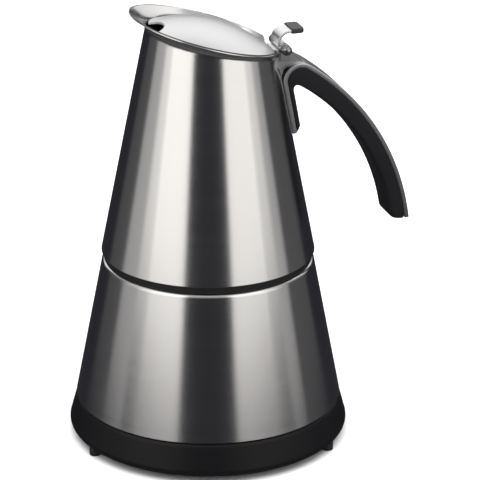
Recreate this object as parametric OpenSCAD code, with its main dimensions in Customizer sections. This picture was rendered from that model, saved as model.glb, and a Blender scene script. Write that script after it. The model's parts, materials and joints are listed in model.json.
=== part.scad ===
// Electric moka pot: a black base on three feet, a conical steel boiler, a screw-on conical steel
// jug with a slanted pouring rim, a hinged lid with a thumb lever, and a strap handle with a grip.
// Origin on the table plane at the pot's axis, +Z up, +X towards the handle, -X towards the spout.

/* [Base] */
// Largest radius of the base housing
base_r = 70; // [60:0.5:84]
// Height of the base housing, from its underside to the boiler's steel edge
base_h = 17.2; // [16:0.2:26]
// Wall of the base housing
base_wall = 2.5; // [1.5:0.1:4]
// Rounding of the base housing's lower corner
base_corner_r = 3.4; // [1:0.2:4]
// Rounding of the base housing's upper corner
base_shoulder_r = 3; // [1:0.2:4]
// How far the base's lower edge stands in from its largest radius
base_tuck = 2.2; // [0.5:0.1:4]
// Ledge by which the base stands out past the steel
base_step = 0.5; // [0.2:0.1:2]
// Thickness of the bottom cover
plate_t = 2; // [1.5:0.1:4]

/* [Feet] */
// Height of the feet under the base
foot_h = 2.8; // [2:0.1:8]
// Radius of a foot
foot_r = 2.7; // [2:0.1:4]
// How deep a foot is pressed into the base
foot_grip = 4; // [2:0.2:6]
// Direction of the first foot, from the handle
foot_angle = 76; // [0:1:119]

/* [Boiler] */
// Radius of the boiler's steel wall at its lower edge
boiler_foot_r = 66.6; // [56:0.2:76]
// Height of the boiler's wall
boiler_h = 72.8; // [60:0.2:90]
// Radius of the boiler at its shoulder
boiler_top_r = 52.6; // [46:0.2:60]
// Steel wall of the boiler
boiler_wall = 1; // [0.6:0.1:2]
// Rounding of the boiler's shoulder
shoulder_r = 2.4; // [1:0.1:4]
// Height of the boiler's floor above its lower edge
floor_lift = 6; // [5:0.5:12]
// Thickness of the boiler's floor
floor_t = 1.2; // [0.8:0.1:3]

/* [Screw thread] */
// Inner radius of the boiler's neck
neck_bore_r = 29.3; // [26:0.1:31]
// Wall of the boiler's neck
neck_wall = 2.7; // [2:0.1:4]
// Height of the neck above the shoulder
neck_h = 15.7; // [14:0.1:20]
// Rise of the thread in one turn
thread_pitch = 4; // [3.5:0.1:5]
// Turns of the thread ridge
thread_turns = 1.25; // [1:0.05:1.5]
// Depth of a thread ridge
thread_depth = 1; // [0.6:0.1:1.2]
// Room between the two threads, on the radius
thread_gap = 0.4; // [0.3:0.05:0.6]

/* [Collar] */
// Height of the black collar between boiler and jug
collar_h = 3.9; // [3:0.1:6]
// How far the collar stands in from the jug's edge
collar_inset = 1.2; // [0.4:0.1:3]
// Width of the collar's ring
collar_w = 6; // [3:0.5:10]
// Room left above and below the collar
collar_gap = 0.1; // [0.05:0.05:0.3]

/* [Jug] */
// Radius of the jug at its lower edge
jug_foot_r = 53.1; // [46:0.1:60]
// Height of the jug from its edge to the rim's neck, on the axis
jug_h = 108.3; // [90:0.1:130]
// Radius of the jug at the neck, on the axis
jug_neck_r = 31.9; // [28:0.1:36]
// Steel wall of the jug
jug_wall = 0.9; // [0.6:0.1:1.6]
// Slant of the rim
rim_tilt = 15; // [5:0.5:20]
// Height of the lip's edge above the neck, on the axis
lip_h = 4.2; // [3:0.1:6]
// Radius of the lip's round edge, seen from above
edge_r = 36.5; // [35:0.1:40]
// How far the lip's edge is set towards the spout
edge_shift = 2; // [0:0.1:4]
// Slant of the lip's edge
edge_tilt = 15.5; // [10:0.5:20]
// How far below the slanted neck the lip starts at the spout
lip_deep = 2.8; // [0:0.1:5]
// Half width of the rim's gap at the hinge, in degrees
hinge_gap = 17; // [15:1:24]

/* [Column] */
// Outer radius of the column at its foot
column_foot_r = 9; // [7:0.2:12]
// Outer radius of the column at its head
column_head_r = 6.6; // [5:0.2:8]
// Height of the column above the jug's floor
column_h = 62; // [45:1:70]
// Wall of the column
column_wall = 1; // [0.8:0.1:2]

/* [Basket] */
// Height of the coffee cup of the basket
cup_h = 24; // [16:0.5:26]
// Wall of the basket
cup_wall = 0.7; // [0.5:0.1:1]
// Room between the basket and the neck
cup_gap = 0.4; // [0.3:0.05:0.8]
// Outer radius of the basket's stem
stem_r = 4.6; // [3.5:0.1:6]
// Gap between the stem and the boiler's floor
stem_gap = 5; // [3:0.5:10]
// Thickness of the basket's flange
flange_t = 1; // [0.6:0.1:1.5]
// Thickness of the gasket
gasket_t = 2.4; // [1.8:0.1:3.5]
// Radius of a sieve hole
sieve_hole_r = 0.8; // [0.5:0.1:1.2]

/* [Handle] */
// Width of the steel band
band_w = 18; // [12:0.5:24]
// Thickness of the steel band
band_t = 2.2; // [1.5:0.1:3]
// Radius of the handle's outer bow
bow_r = 122; // [100:1:150]
// Place of the bow's centre beside the axis
bow_x = -17.7; // [-40:0.1:0]
// How far the bow's centre lies below the rim's neck
bow_drop = 116.8; // [90:0.1:140]
// Radius of the bend at the top of the handle
bend_r = 9; // [8:0.1:12]
// Height of the leg's lower end below the rim's neck
leg_drop = 50; // [40:0.5:60]
// Thickness of the grip on the leg
grip_leg_t = 2.7; // [2:0.1:4]
// Thickness of band and grip together at the grip's lower end
handle_t = 10; // [8:0.1:14]
// Shift between the inner and the outer bow, which thickens the handle towards its top
handle_swell = 5.7; // [0:0.1:8]
// Direction of the grip's lower end, seen from the bow's centre
grip_end_angle = 7.6; // [2:0.2:20]
// Rounding at the top of the finger gap
finger_r = 2; // [1.5:0.1:5]

/* [Hinge] */
// Radius of the hinge pin
pin_r = 1.25; // [1:0.05:1.6]
// Running clearance of the hinge, on the radius
pin_gap = 0.05; // [0.02:0.01:0.08]
// Radius of the balls at the pin's ends
ball_r = 2.6; // [2:0.1:3.2]
// Outer radius of the lid's barrel
barrel_r = 2.3; // [2:0.1:3]
// Half length of the lid's barrel
barrel_half = 6; // [5:0.1:7]
// Thickness of an ear of the hinge bracket
ear_t = 1.8; // [1.2:0.1:2.4]
// Distance of the hinge pin outside the rim's neck
pin_out = 3.3; // [3:0.1:5]
// Height of the hinge pin above the rim's neck
pin_up = 3; // [2.6:0.1:5]

/* [Lid] */
// Half width of the lid
lid_r = 30.6; // [28:0.1:30.8]
// How much longer than wide the lid is, to fill the slanted rim
lid_oval = 1.035; // [1:0.005:1.04]
// Rise of the lid's dome
lid_rise = 8; // [3:0.2:9]
// Steel of the lid
lid_t = 0.9; // [0.6:0.1:1.5]
// Height of the turned-down edge of the lid
lid_edge_h = 0.8; // [0.5:0.1:1]
// How high the lid's edge sits above the rim's neck
lid_lift = 1.2; // [1:0.1:3]
// Half width of the pouring notch in the lid
notch_r = 9; // [5:0.5:12]
// How far the pouring notch reaches into the lid
notch_depth = 6; // [3:0.5:9]
// Width of the thumb lever
lever_w = 11.4; // [8:0.2:12]
// Thickness of the thumb lever
lever_t = 1.2; // [0.8:0.1:1.6]
// Height of the thumb lever above the pin
lever_h = 8.6; // [7:0.1:10]
// Length of the lever's flat, out over the pin
lever_reach = 1.4; // [0.5:0.1:4]
// Length of the lever's plastic tip
tip_l = 6.8; // [5:0.1:9]

/* [Safety valve] */
// Height of the valve above the boiler's lower edge
valve_z = 44; // [30:1:56]
// Radius of the valve's threaded shank
valve_r = 4; // [3:0.1:5]
// Across the corners of the valve's hexagon, as a radius
valve_hex_r = 7.5; // [6:0.1:9]
// Travel of the valve's pin
valve_travel = 1.2; // [0.8:0.1:2]

/* [Heater] */
// Radius of the heat spreader
spreader_r = 46; // [44:0.5:52]
// Thickness of the heat spreader
spreader_t = 4; // [3:0.2:5]
// Radius of the heating element's ring
element_ring_r = 38; // [34:0.5:40]
// Radius of the heating element's tube
element_r = 3.2; // [2.5:0.1:3.6]

/* [Connector] */
// Radius of the connector socket's mouth
socket_bore_r = 17; // [15:0.5:20]
// Depth of the connector socket's mouth
socket_bore_l = 6; // [5:0.5:8]
// Wall of the connector socket
socket_wall = 2; // [1.5:0.1:3]
// Step that narrows the socket past its mouth
socket_step = 1.6; // [1:0.1:3]

/* [Hidden] */
$fn = 96;
over = 1;

// Heights, from the table plane upwards
z_base = foot_h;
z_boiler = z_base + base_h;
z_floor = z_boiler + floor_lift;
z_shoulder = z_boiler + boiler_h;
z_neck_top = z_shoulder + neck_h;
z_jug = z_shoulder + collar_h;
z_gasket = z_neck_top + flange_t + collar_gap;
z_jug_floor = z_gasket + gasket_t + collar_gap;
jug_floor_t = 1.2;
z_rim = z_jug + jug_h;

// Slopes of the two conical walls, and radii at a height
boiler_slope = (boiler_foot_r - boiler_top_r) / boiler_h;
jug_slope = (jug_foot_r - jug_neck_r) / jug_h;
jug_lean = atan(jug_slope);
function boiler_r(z) = boiler_foot_r - (z - z_boiler) * boiler_slope;
function boiler_in_r(z) = boiler_r(z) - boiler_wall;
function jug_r(z) = jug_foot_r - (z - z_jug) * jug_slope;

// Point at a direction and a distance, and points of an arc from angle a to angle b
function polar(r, a) = r * [cos(a), sin(a)];
function arc(c, r, a, b, n = 12) = [for (i = [0:n]) c + polar(r, a + (b - a) * i / n)];

// A child's +Z becomes the boiler wall's outward normal, at the back of the pot
boiler_lean = atan(boiler_slope);
z_valve = z_boiler + valve_z;
module at_valve() translate([0, boiler_r(z_valve), z_valve]) rotate([boiler_lean - 90, 0, 0]) children();

// A closed skin over a loop of rings that all have the same number of points
module ring_skin(rings) {
  m = len(rings);
  n = len(rings[0]);
  pts = [for (ring = rings, p = ring) p];
  tris = [for (i = [0:m - 1], j = [0:n - 1])
    let (a = i * n + j, b = i * n + (j + 1) % n, k = (i + 1) % m, c = k * n + (j + 1) % n, d = k * n + j)
    each [[a, c, b], [a, d, c]]];
  polyhedron(points = pts, faces = tris, convexity = 10);
}

// A closed tube of polygon sections, with flat ends
module section_sweep(sections) {
  m = len(sections);
  n = len(sections[0]);
  pts = [for (s = sections, p = s) p];
  sides = [for (i = [0:m - 2], j = [0:n - 1])
    let (a = i * n + j, b = i * n + (j + 1) % n, c = b + n, d = a + n)
    each [[a, b, c], [a, c, d]]];
  first = [for (j = [n - 1:-1:0]) j];
  last = [for (j = [0:n - 1]) (m - 1) * n + j];
  polyhedron(points = pts, faces = concat(sides, [first, last]), convexity = 10);
}

// A helical ridge: root and crest radii, from angle start over the stated turns
thread_steps = 24;
ridge_root_w = 1.9;
ridge_crest_w = 0.9;
module thread_ridge(root_r, crest_r, z, start) {
  inner_first = crest_r > root_r;
  section_sweep([for (i = [0:thread_turns * thread_steps])
    let (a = start + 360 * i / thread_steps, zc = z + thread_pitch * i / thread_steps)
    [for (p = [[root_r, -ridge_root_w / 2], [crest_r, -ridge_crest_w / 2],
               [crest_r, ridge_crest_w / 2], [root_r, ridge_root_w / 2]])
      [p[0] * cos(a), p[0] * sin(a), zc + (inner_first ? p[1] : -p[1])]]]);
}
// The screw joint: male thread on the neck, female thread in the skirt, half a pitch below it
neck_r = neck_bore_r + neck_wall;
crest_r = neck_r + thread_depth;
skirt_in_r = crest_r + thread_gap;
skirt_wall = 2.2;
skirt_gap = 1.6;
z_thread = z_shoulder + 8.2;
thread_bite = 0.4;

// Seats of the base housing
low_r = base_r - base_tuck;
ledge_w = 7.4;
flange_in_r = low_r - ledge_w;
screw_ring_r = flange_in_r - 6;
screw_r = 1.6;
screw_head_r = 3;
screw_head_h = 1.2;
boss_r = 4;
boss_h = 3;
foot_inset = 0.6;
foot_ring_r = low_r - foot_inset;
socket_r = socket_bore_r + socket_wall;
socket_gap = 1.2;
z_socket_top = z_floor - spreader_t - socket_gap;

// ---------------------------------------------------------------- boiler

module boiler_shell() {
  z_arc = z_shoulder - shoulder_r;
  arc_c = [boiler_r(z_arc) - shoulder_r / cos(boiler_lean), z_arc];
  color("silver") difference() {
    rotate_extrude() polygon(concat(
      [[boiler_foot_r, z_boiler]],
      arc(arc_c, shoulder_r, boiler_lean, 90, 6),
      [[neck_r, z_shoulder], [neck_r, z_shoulder - boiler_wall]],
      arc(arc_c, shoulder_r - boiler_wall, 90, boiler_lean, 6),
      [[boiler_in_r(z_boiler), z_boiler]]
    ));
    at_valve() translate([0, 0, -3 * over]) cylinder(r = valve_r, h = 6 * over);
  }
}

neck_flange_w = 1.5;
neck_flange_t = 2;
module boiler_neck() {
  z_under = z_shoulder - boiler_wall;
  color("silver") union() {
    rotate_extrude() polygon([
      [neck_bore_r, z_under - neck_flange_t], [neck_r + neck_flange_w, z_under - neck_flange_t],
      [neck_r + neck_flange_w, z_under], [neck_r, z_under], [neck_r, z_neck_top], [neck_bore_r, z_neck_top]
    ]);
    thread_ridge(neck_r - thread_bite, crest_r, z_thread, 0);
  }
}

module boiler_floor() {
  color("silver") rotate_extrude() polygon([
    [0, z_floor], [boiler_in_r(z_floor), z_floor],
    [boiler_in_r(z_floor + floor_t), z_floor + floor_t], [0, z_floor + floor_t]
  ]);
}

// ---------------------------------------------------------------- heater

z_spreader = z_floor - spreader_t;
element_angle = 300;
element_from = 30;
terminal_inset = 5;
terminal_angles = [element_from + terminal_inset, element_from + element_angle - terminal_inset];

module element_tube(r) {
  rotate([0, 0, element_from]) rotate_extrude(angle = element_angle) {
    translate([element_ring_r, z_spreader]) circle(r = r);
  }
}

module heat_spreader() {
  color("lightgray") difference() {
    translate([0, 0, z_spreader]) cylinder(r = spreader_r, h = spreader_t);
    rotate_extrude() translate([element_ring_r, z_spreader]) circle(r = element_r);
  }
}

terminal_r = 1.2;
terminal_l = 6.5;
module heating_element() {
  color("dimgray") union() {
    element_tube(element_r);
    for (a = terminal_angles) {
      rotate([0, 0, a]) translate([element_ring_r, 0, z_spreader - element_r - terminal_l])
        cylinder(r = terminal_r, h = terminal_l + element_r);
    }
  }
}

thermostat_r = 4.6;
thermostat_h = 4.6;
thermostat_ring_r = (socket_r + element_ring_r - element_r) / 2;
module thermostat() {
  color("tan") rotate([0, 0, -90]) translate([thermostat_ring_r, 0, z_spreader - thermostat_h])
    cylinder(r = thermostat_r, h = thermostat_h);
}

fuse_r = 1.6;
fuse_l = 12;
module thermal_fuse() {
  color("white") rotate([0, 0, 90]) translate([thermostat_ring_r, fuse_l / 2, z_spreader - fuse_r])
    rotate([90, 0, 0]) cylinder(r = fuse_r, h = fuse_l);
}

// ---------------------------------------------------------------- connector

contact_inset = 1;
contact_z = z_base + socket_bore_l + contact_inset;
roof_t = 1.6;
z_roof = z_socket_top - roof_t;
ring_radii = [7.5, 12.5];
ring_t = 0.8;
pin_contact_r = 1.6;

module connector_socket() {
  color("dimgray") rotate_extrude() polygon([
    [socket_bore_r, z_base], [socket_r, z_base], [socket_r, z_socket_top], [0, z_socket_top],
    [0, z_roof], [socket_bore_r - socket_step, z_roof],
    [socket_bore_r - socket_step, z_base + socket_bore_l], [socket_bore_r, z_base + socket_bore_l]
  ]);
}

module contact_rings() {
  color("gold") for (r = ring_radii) {
    translate([0, 0, contact_z]) difference() {
      cylinder(r = r, h = z_roof - contact_z);
      translate([0, 0, -over]) cylinder(r = r - ring_t, h = z_roof - contact_z + 2 * over);
    }
  }
}

module contact_pin() {
  color("gold") translate([0, 0, contact_z]) cylinder(r = pin_contact_r, h = z_roof - contact_z);
}

// Leads from the socket's side to the two terminals, the thermostat and the fuse
wire_r = 1;
wire_z = z_spreader - thermostat_h - 2 * wire_r;
module supply_wires() {
  color("firebrick") for (a = terminal_angles) {
    rotate([0, 0, a]) translate([socket_r, 0, wire_z]) rotate([0, 90, 0])
      cylinder(r = wire_r, h = element_ring_r - terminal_r - socket_r);
  }
}

// ---------------------------------------------------------------- base

// Outline of the housing: its corner ends where the tucked underside starts, and its crown starts
// where the sloping side ends
corner_end = -70;
crown_start = 20;
seat_w = 5;
module base_ring() {
  corner = [base_r - base_corner_r, z_base + base_corner_r];
  crown = [boiler_foot_r + base_step - base_shoulder_r, z_boiler - base_shoulder_r];
  seat_r = boiler_foot_r - seat_w;
  in_r = low_r - base_wall - 1;
  color("#151515") difference() {
    rotate_extrude() polygon(concat(
      [[flange_in_r, z_base]],
      arc(corner, base_corner_r, corner_end, 0, 8),
      arc(crown, base_shoulder_r, crown_start, 90, 8),
      [[seat_r, z_boiler], [seat_r, z_boiler - base_wall], [in_r, z_boiler - base_wall],
       [in_r, z_base + base_wall], [flange_in_r, z_base + base_wall]]
    ));
    foot_pegs();
  }
}

module foot_pegs() {
  for (i = [0:2]) rotate([0, 0, foot_angle + 120 * i]) translate([foot_ring_r, 0, 0])
    cylinder(r = foot_r, h = foot_h + foot_grip);
}

module feet() {
  color("#101010") foot_pegs();
}

// The three screws sit halfway between the feet
module at_screws() {
  for (i = [0:2]) rotate([0, 0, foot_angle + 60 + 120 * i]) translate([screw_ring_r, 0, z_base]) children();
}

module base_plate() {
  color("#1c1c1c") difference() {
    union() {
      translate([0, 0, z_base]) cylinder(r = flange_in_r, h = plate_t);
      at_screws() cylinder(r = boss_r, h = plate_t + boss_h);
    }
    translate([0, 0, z_base - over]) cylinder(r = socket_r, h = plate_t + 2 * over);
    at_screws() translate([0, 0, -over]) {
      cylinder(r = screw_r, h = plate_t + boss_h + 2 * over);
      cylinder(r = screw_head_r, h = screw_head_h + over);
    }
  }
}

module base_screws() {
  color("gray") at_screws() {
    cylinder(r = screw_head_r, h = screw_head_h);
    cylinder(r = screw_r, h = plate_t + boss_h);
  }
}

// ---------------------------------------------------------------- safety valve

valve_head_h = 4;
valve_seat_h = 1.4;
valve_in_l = 8;
valve_chamber_r = 2.6;
valve_pin_r = 1.4;
valve_cap_t = 1.6;
washer_t = 2;
washer_inset = 1;
nut_t = 4;
nut_gap = 0.1;
pin_flange_r = 2.3;
pin_flange_t = 1;
pin_flange_z = 1 - valve_in_l;
chamber_top = valve_seat_h + valve_head_h - valve_cap_t;
pin_top = chamber_top + valve_cap_t + 1;

module valve_body() {
  color("#b08d3c") at_valve() difference() {
    union() {
      translate([0, 0, -valve_in_l]) cylinder(r = valve_r, h = valve_in_l + valve_seat_h + over);
      translate([0, 0, valve_seat_h]) cylinder(r = valve_hex_r, h = valve_head_h, $fn = 6);
    }
    translate([0, 0, -valve_in_l - over]) cylinder(r = valve_chamber_r, h = valve_in_l + chamber_top + over);
    translate([0, 0, -over]) cylinder(r = valve_pin_r + pin_gap, h = chamber_top + valve_cap_t + 2 * over);
  }
}

// The space inside the boiler's wall, at a depth under its outer face
module boiler_cone(depth) {
  translate([0, 0, z_boiler]) cylinder(r1 = boiler_foot_r - depth, r2 = boiler_top_r - depth, h = boiler_h);
}

module valve_gasket() {
  color("#303030") difference() {
    at_valve() difference() {
      translate([0, 0, -washer_t]) cylinder(r = valve_hex_r - washer_inset, h = washer_t + valve_seat_h);
      translate([0, 0, -washer_t - over]) cylinder(r = valve_r, h = washer_t + valve_seat_h + 2 * over);
    }
    boiler_cone(0);
  }
}

module valve_nut() {
  color("#b08d3c") intersection() {
    at_valve() difference() {
      translate([0, 0, -boiler_wall - nut_t])
        cylinder(r = valve_hex_r - washer_inset, h = nut_t, $fn = 6);
      translate([0, 0, -boiler_wall - nut_t - over]) cylinder(r = valve_r, h = nut_t + 2 * over);
    }
    boiler_cone(boiler_wall + nut_gap);
  }
}

module valve_pin() {
  color("silver") at_valve() union() {
    translate([0, 0, pin_flange_z]) cylinder(r = pin_flange_r, h = pin_flange_t);
    translate([0, 0, pin_flange_z]) cylinder(r = valve_pin_r, h = pin_top - pin_flange_z);
  }
}

spring_wire_r = 0.28;
spring_ring_r = (valve_pin_r + valve_chamber_r) / 2;
spring_turns = 6;
spring_steps = 16;
spring_gap = 0.02;
module valve_spring() {
  from = pin_flange_z + pin_flange_t + spring_wire_r + spring_gap;
  rise = chamber_top - spring_wire_r - spring_gap - from;
  color("gray") at_valve() section_sweep([for (i = [0:spring_turns * spring_steps])
    let (a = 360 * i / spring_steps, z = from + rise * i / (spring_turns * spring_steps))
    [for (k = [0:5]) let (r = spring_ring_r + spring_wire_r * cos(60 * k))
      [r * cos(a), r * sin(a), z - spring_wire_r * sin(60 * k)]]]);
}

// ---------------------------------------------------------------- collar and basket

module collar_ring() {
  r = jug_foot_r - collar_inset;
  color("#141414") translate([0, 0, z_shoulder + collar_gap]) difference() {
    cylinder(r = r, h = collar_h - 2 * collar_gap);
    translate([0, 0, -over]) cylinder(r = r - collar_w, h = collar_h + 2 * over);
  }
}

cup_r = neck_bore_r - cup_gap;
flange_r = neck_r - 0.2;
z_cup_floor = z_neck_top - cup_h;
sieve_t = 0.8;
sieve_step = 4.2;
sieve_rim = 3;
funnel_h = 9;

module basket_cup() {
  color("silver") rotate_extrude() polygon([
    [cup_r - cup_wall, z_cup_floor], [cup_r, z_cup_floor], [cup_r, z_neck_top],
    [flange_r, z_neck_top], [flange_r, z_neck_top + flange_t], [cup_r - cup_wall, z_neck_top + flange_t]
  ]);
}

// A disc with rings of holes
module sieve(r, z) {
  translate([0, 0, z]) difference() {
    cylinder(r = r, h = sieve_t);
    for (k = [1:floor((r - sieve_rim) / sieve_step)], i = [0:5 * k - 1]) {
      rotate([0, 0, 360 * i / (5 * k)]) translate([k * sieve_step, 0, -over])
        cylinder(r = sieve_hole_r, h = sieve_t + 2 * over, $fn = 16);
    }
  }
}

module basket_sieve() {
  color("silver") sieve(cup_r - cup_wall, z_cup_floor);
}

module basket_funnel() {
  z_low = z_cup_floor - funnel_h;
  z_tip = z_floor + floor_t + stem_gap;
  color("silver") rotate_extrude() polygon([
    [cup_r, z_cup_floor], [stem_r, z_low], [stem_r, z_tip], [stem_r - cup_wall, z_tip],
    [stem_r - cup_wall, z_low + 0.5], [cup_r - 2 * cup_wall, z_cup_floor]
  ]);
}

// ---------------------------------------------------------------- jug

gasket_w = 5.3;
module jug_gasket() {
  color("#d8d4c8") translate([0, 0, z_gasket]) difference() {
    cylinder(r = flange_r, h = gasket_t);
    translate([0, 0, -over]) cylinder(r = flange_r - gasket_w, h = gasket_t + 2 * over);
  }
}

module filter_plate() {
  color("silver") sieve(flange_r - gasket_w, z_gasket + (gasket_t - sieve_t) / 4);
}

// Rim: the neck follows the cone along a slanted plane, and the lip flares out of it; at the hinge
// the lip fades away and leaves a low edge under the lid's tongue
jug_sides = 96;
wall_rows = 3;
lip_rows = 6;
lip_fade = 8;
lip_start = 0.27;
gap_rise = 0.3;
bend_share = 0.25;
function slant_z(a, share) =
  let (m = tan(rim_tilt) * share, zk = z_jug + jug_h * share)
  (zk - m * cos(a) * (jug_foot_r + jug_slope * z_jug)) / (1 - m * jug_slope * cos(a));
function smooth(t) = let (u = max(0, min(1, t))) u * u * (3 - 2 * u);
function signed(a) = a > 180 ? a - 360 : a;
function open_lip(a) = smooth((abs(signed(a)) - hinge_gap) / lip_fade + 0.5);
function low_lip(a) = lip_deep * max(0, lip_start - cos(a)) / (lip_start + 1);
// Offset of a surface point by d along the wall's inner normal
function wall_pt(a, share, d) =
  let (z = slant_z(a, share) - share * low_lip(a), r = jug_r(z))
  [r - d * cos(jug_lean), z - d * sin(jug_lean)];
// Point of the lip's edge, which sinks to the neck in the rim's gap
function edge_pt(a) =
  let (r = sqrt(edge_r * edge_r - pow(edge_shift * sin(a), 2)) - edge_shift * cos(a),
       edge = [r, z_rim + lip_h - tan(edge_tilt) * r * cos(a)],
       low = wall_pt(a, 1, 0) + gap_rise * [-jug_slope, 1])
  low + open_lip(a) * (edge - low);
// The lip's section: a short bend out of the wall, up to t = 0.5, and then straight to the edge
function lip_pt(a, t, d) =
  let (n = wall_pt(a, 1, 0), e = edge_pt(a), reach = bend_share * norm(e - n),
       c = n + reach * [-sin(jug_lean), cos(jug_lean)], q = c + reach * (e - c) / norm(e - c),
       u = 2 * t, way = t < 0.5 ? (1 - u) * (c - n) + u * (q - c) : e - c,
       p = t < 0.5 ? n + 2 * u * (1 - u) * (c - n) + u * u * (q - n) : q + (u - 1) * (e - q))
  p + d / norm(way) * [-way[1], way[0]];
function turned(p, a) = [p[0] * cos(a), p[0] * sin(a), p[1]];
function ring(f) = [for (j = [0:jug_sides - 1]) f(360 * j / jug_sides)];

module jug_shell() {
  outer = concat(
    [for (i = [0:wall_rows]) ring(function(a) turned(wall_pt(a, i / wall_rows, 0), a))],
    [for (i = [1:lip_rows]) ring(function(a) turned(lip_pt(a, i / lip_rows, 0), a))]
  );
  inner = concat(
    [for (i = [lip_rows:-1:1]) ring(function(a) turned(lip_pt(a, i / lip_rows, jug_wall), a))],
    [for (i = [wall_rows:-1:0]) ring(function(a) let (p = wall_pt(a, i / wall_rows, jug_wall))
      turned([p[0], i == 0 ? z_jug : p[1]], a))]
  );
  color("silver") ring_skin(concat(outer, inner));
}

function jug_in_r(z) = jug_r(z) - jug_wall / cos(jug_lean) - 0.1;
column_hole_r = column_foot_r - column_wall - 1;

module jug_floor() {
  color("silver") rotate_extrude() polygon([
    [column_hole_r, z_jug_floor], [jug_in_r(z_jug_floor), z_jug_floor],
    [jug_in_r(z_jug_floor + jug_floor_t), z_jug_floor + jug_floor_t],
    [column_hole_r, z_jug_floor + jug_floor_t]
  ]);
}

module jug_skirt() {
  z = z_shoulder + skirt_gap;
  color("silver") union() {
    translate([0, 0, z]) difference() {
      cylinder(r = skirt_in_r + skirt_wall, h = z_jug_floor - z);
      translate([0, 0, -over]) cylinder(r = skirt_in_r, h = z_jug_floor - z + 2 * over);
    }
    thread_ridge(skirt_in_r + thread_bite, skirt_in_r - thread_depth, z_thread, 180);
  }
}

z_column = z_jug_floor + jug_floor_t;
module column_tube() {
  color("silver") translate([0, 0, z_column]) difference() {
    cylinder(r1 = column_foot_r, r2 = column_head_r, h = column_h);
    translate([0, 0, -over]) cylinder(
      r1 = column_foot_r - column_wall + over * (column_foot_r - column_head_r) / column_h,
      r2 = column_head_r - column_wall - over * (column_foot_r - column_head_r) / column_h,
      h = column_h + 2 * over);
  }
}

cap_h = 7;
cap_step = 1;
cap_taper = 2.5;
slot_w = 4;
slot_h = 3;
slot_z = 2;
module column_cap() {
  cap_r = column_head_r + cap_step;
  bore_r = column_head_r - column_wall - 0.6;
  color("silver") translate([0, 0, z_column + column_h]) difference() {
    cylinder(r1 = cap_r, r2 = cap_r - cap_taper, h = cap_h);
    translate([0, 0, -over]) cylinder(r = bore_r, h = cap_h - cap_step + over);
    translate([-slot_w / 2, -cap_r - over, slot_z]) cube([slot_w, 2 * (cap_r + over), slot_h]);
  }
}

// ---------------------------------------------------------------- handle

z_bow = z_rim - bow_drop;
bow_c = [bow_x, z_bow];
z_leg = z_rim - leg_drop;
weld_inset = 0.6;
leg_dir = [-sin(jug_lean), cos(jug_lean)];
leg_norm = [cos(jug_lean), sin(jug_lean)];
leg_foot = [jug_r(z_leg) - weld_inset, z_leg];
// Centre of a circle of radius r that touches a line (through p, on its normal's side) and the
// inside of a bow (centre c, radius big)
function nest(p, c, big, r) =
  let (q = p + r * leg_norm - c, b = q * leg_dir, e = q * q - pow(big - r, 2))
  p + r * leg_norm + (sqrt(b * b - e) - b) * leg_dir;
function heading(v) = atan2(v[1], v[0]);

bend_c = nest(leg_foot, bow_c, bow_r, bend_r);
bow_from = heading(bend_c - bow_c);
leg_top_angle = 180 + jug_lean;
// Outline of the handle at a depth under its steel face: leg, bend and bow
function handle_line(d) = concat(
  [leg_foot + d * leg_norm],
  arc(bend_c, bend_r - d, leg_top_angle, bow_from, 16),
  arc(bow_c, bow_r - d, bow_from, grip_end_angle, 40)
);
function backwards(v) = [for (i = [len(v) - 1:-1:0]) v[i]];

module across(w) rotate([90, 0, 0]) translate([0, 0, -w / 2]) linear_extrude(height = w) children();
module jug_cone() translate([0, 0, z_jug - over])
  cylinder(r1 = jug_foot_r + over * jug_slope, r2 = jug_neck_r - over * jug_slope, h = jug_h + 2 * over);

module handle_band() {
  color("silver") difference() {
    across(band_w) polygon(concat(handle_line(0), backwards(handle_line(band_t))));
    jug_cone();
  }
}

grip_inset = 0.3;
grip_w = band_w - 2 * grip_inset;
thin_angle = 15;
palm_r = bow_r - handle_t - handle_swell;
palm_c = bow_c + polar(handle_swell, thin_angle);
grip_leg_inset = 3.4;
grip_leg = leg_foot + (band_t + grip_leg_t) * leg_norm + grip_leg_inset * leg_dir;
finger_c = nest(grip_leg, palm_c, palm_r, finger_r);
end_r = 3;

module handle_grip() {
  end_c = palm_c + polar(palm_r + end_r, grip_end_angle);
  color("#18181a") across(grip_w) polygon(concat(
    handle_line(band_t),
    [bow_c + polar(bow_r - band_t, grip_end_angle - 1)],
    arc(end_c, end_r, grip_end_angle - 90, grip_end_angle - 180, 6),
    arc(palm_c, palm_r, grip_end_angle, heading(finger_c - palm_c), 32),
    arc(finger_c, finger_r, heading(finger_c - palm_c), leg_top_angle, 10),
    [grip_leg]
  ));
}

// Screws from inside the band into the grip, just clear of the band's curved face
grip_screw_r = 1.5;
grip_screw_l = 5;
grip_screw_gap = 0.1;
screw_angles = [18, 40];
module grip_screws() {
  color("gray") for (a = screw_angles) {
    p = bow_c + polar(bow_r - band_t - grip_screw_gap - grip_screw_l, a);
    translate([p[0], 0, p[1]]) rotate([0, 90 - a, 0]) cylinder(r = grip_screw_r, h = grip_screw_l);
  }
}

// ---------------------------------------------------------------- hinge

// Neck of the rim at the handle, and the pin beside it
neck_pt = wall_pt(0, 1, 0);
pin_c = [neck_pt[0] + pin_out, neck_pt[1] + pin_up];
barrel_gap = 0.4;
ear_gap = 0.3;
ear_r = barrel_r + barrel_gap;
ear_in = barrel_half + ear_gap;
ear_depth = 7;
bracket_inset = 1;
wedge_tip = [-2, -1.6];

module at_pin() translate([pin_c[0], 0, pin_c[1]]) children();
module pin_bar(r, l) rotate([90, 0, 0]) translate([0, 0, -l / 2]) cylinder(r = r, h = l);

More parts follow.
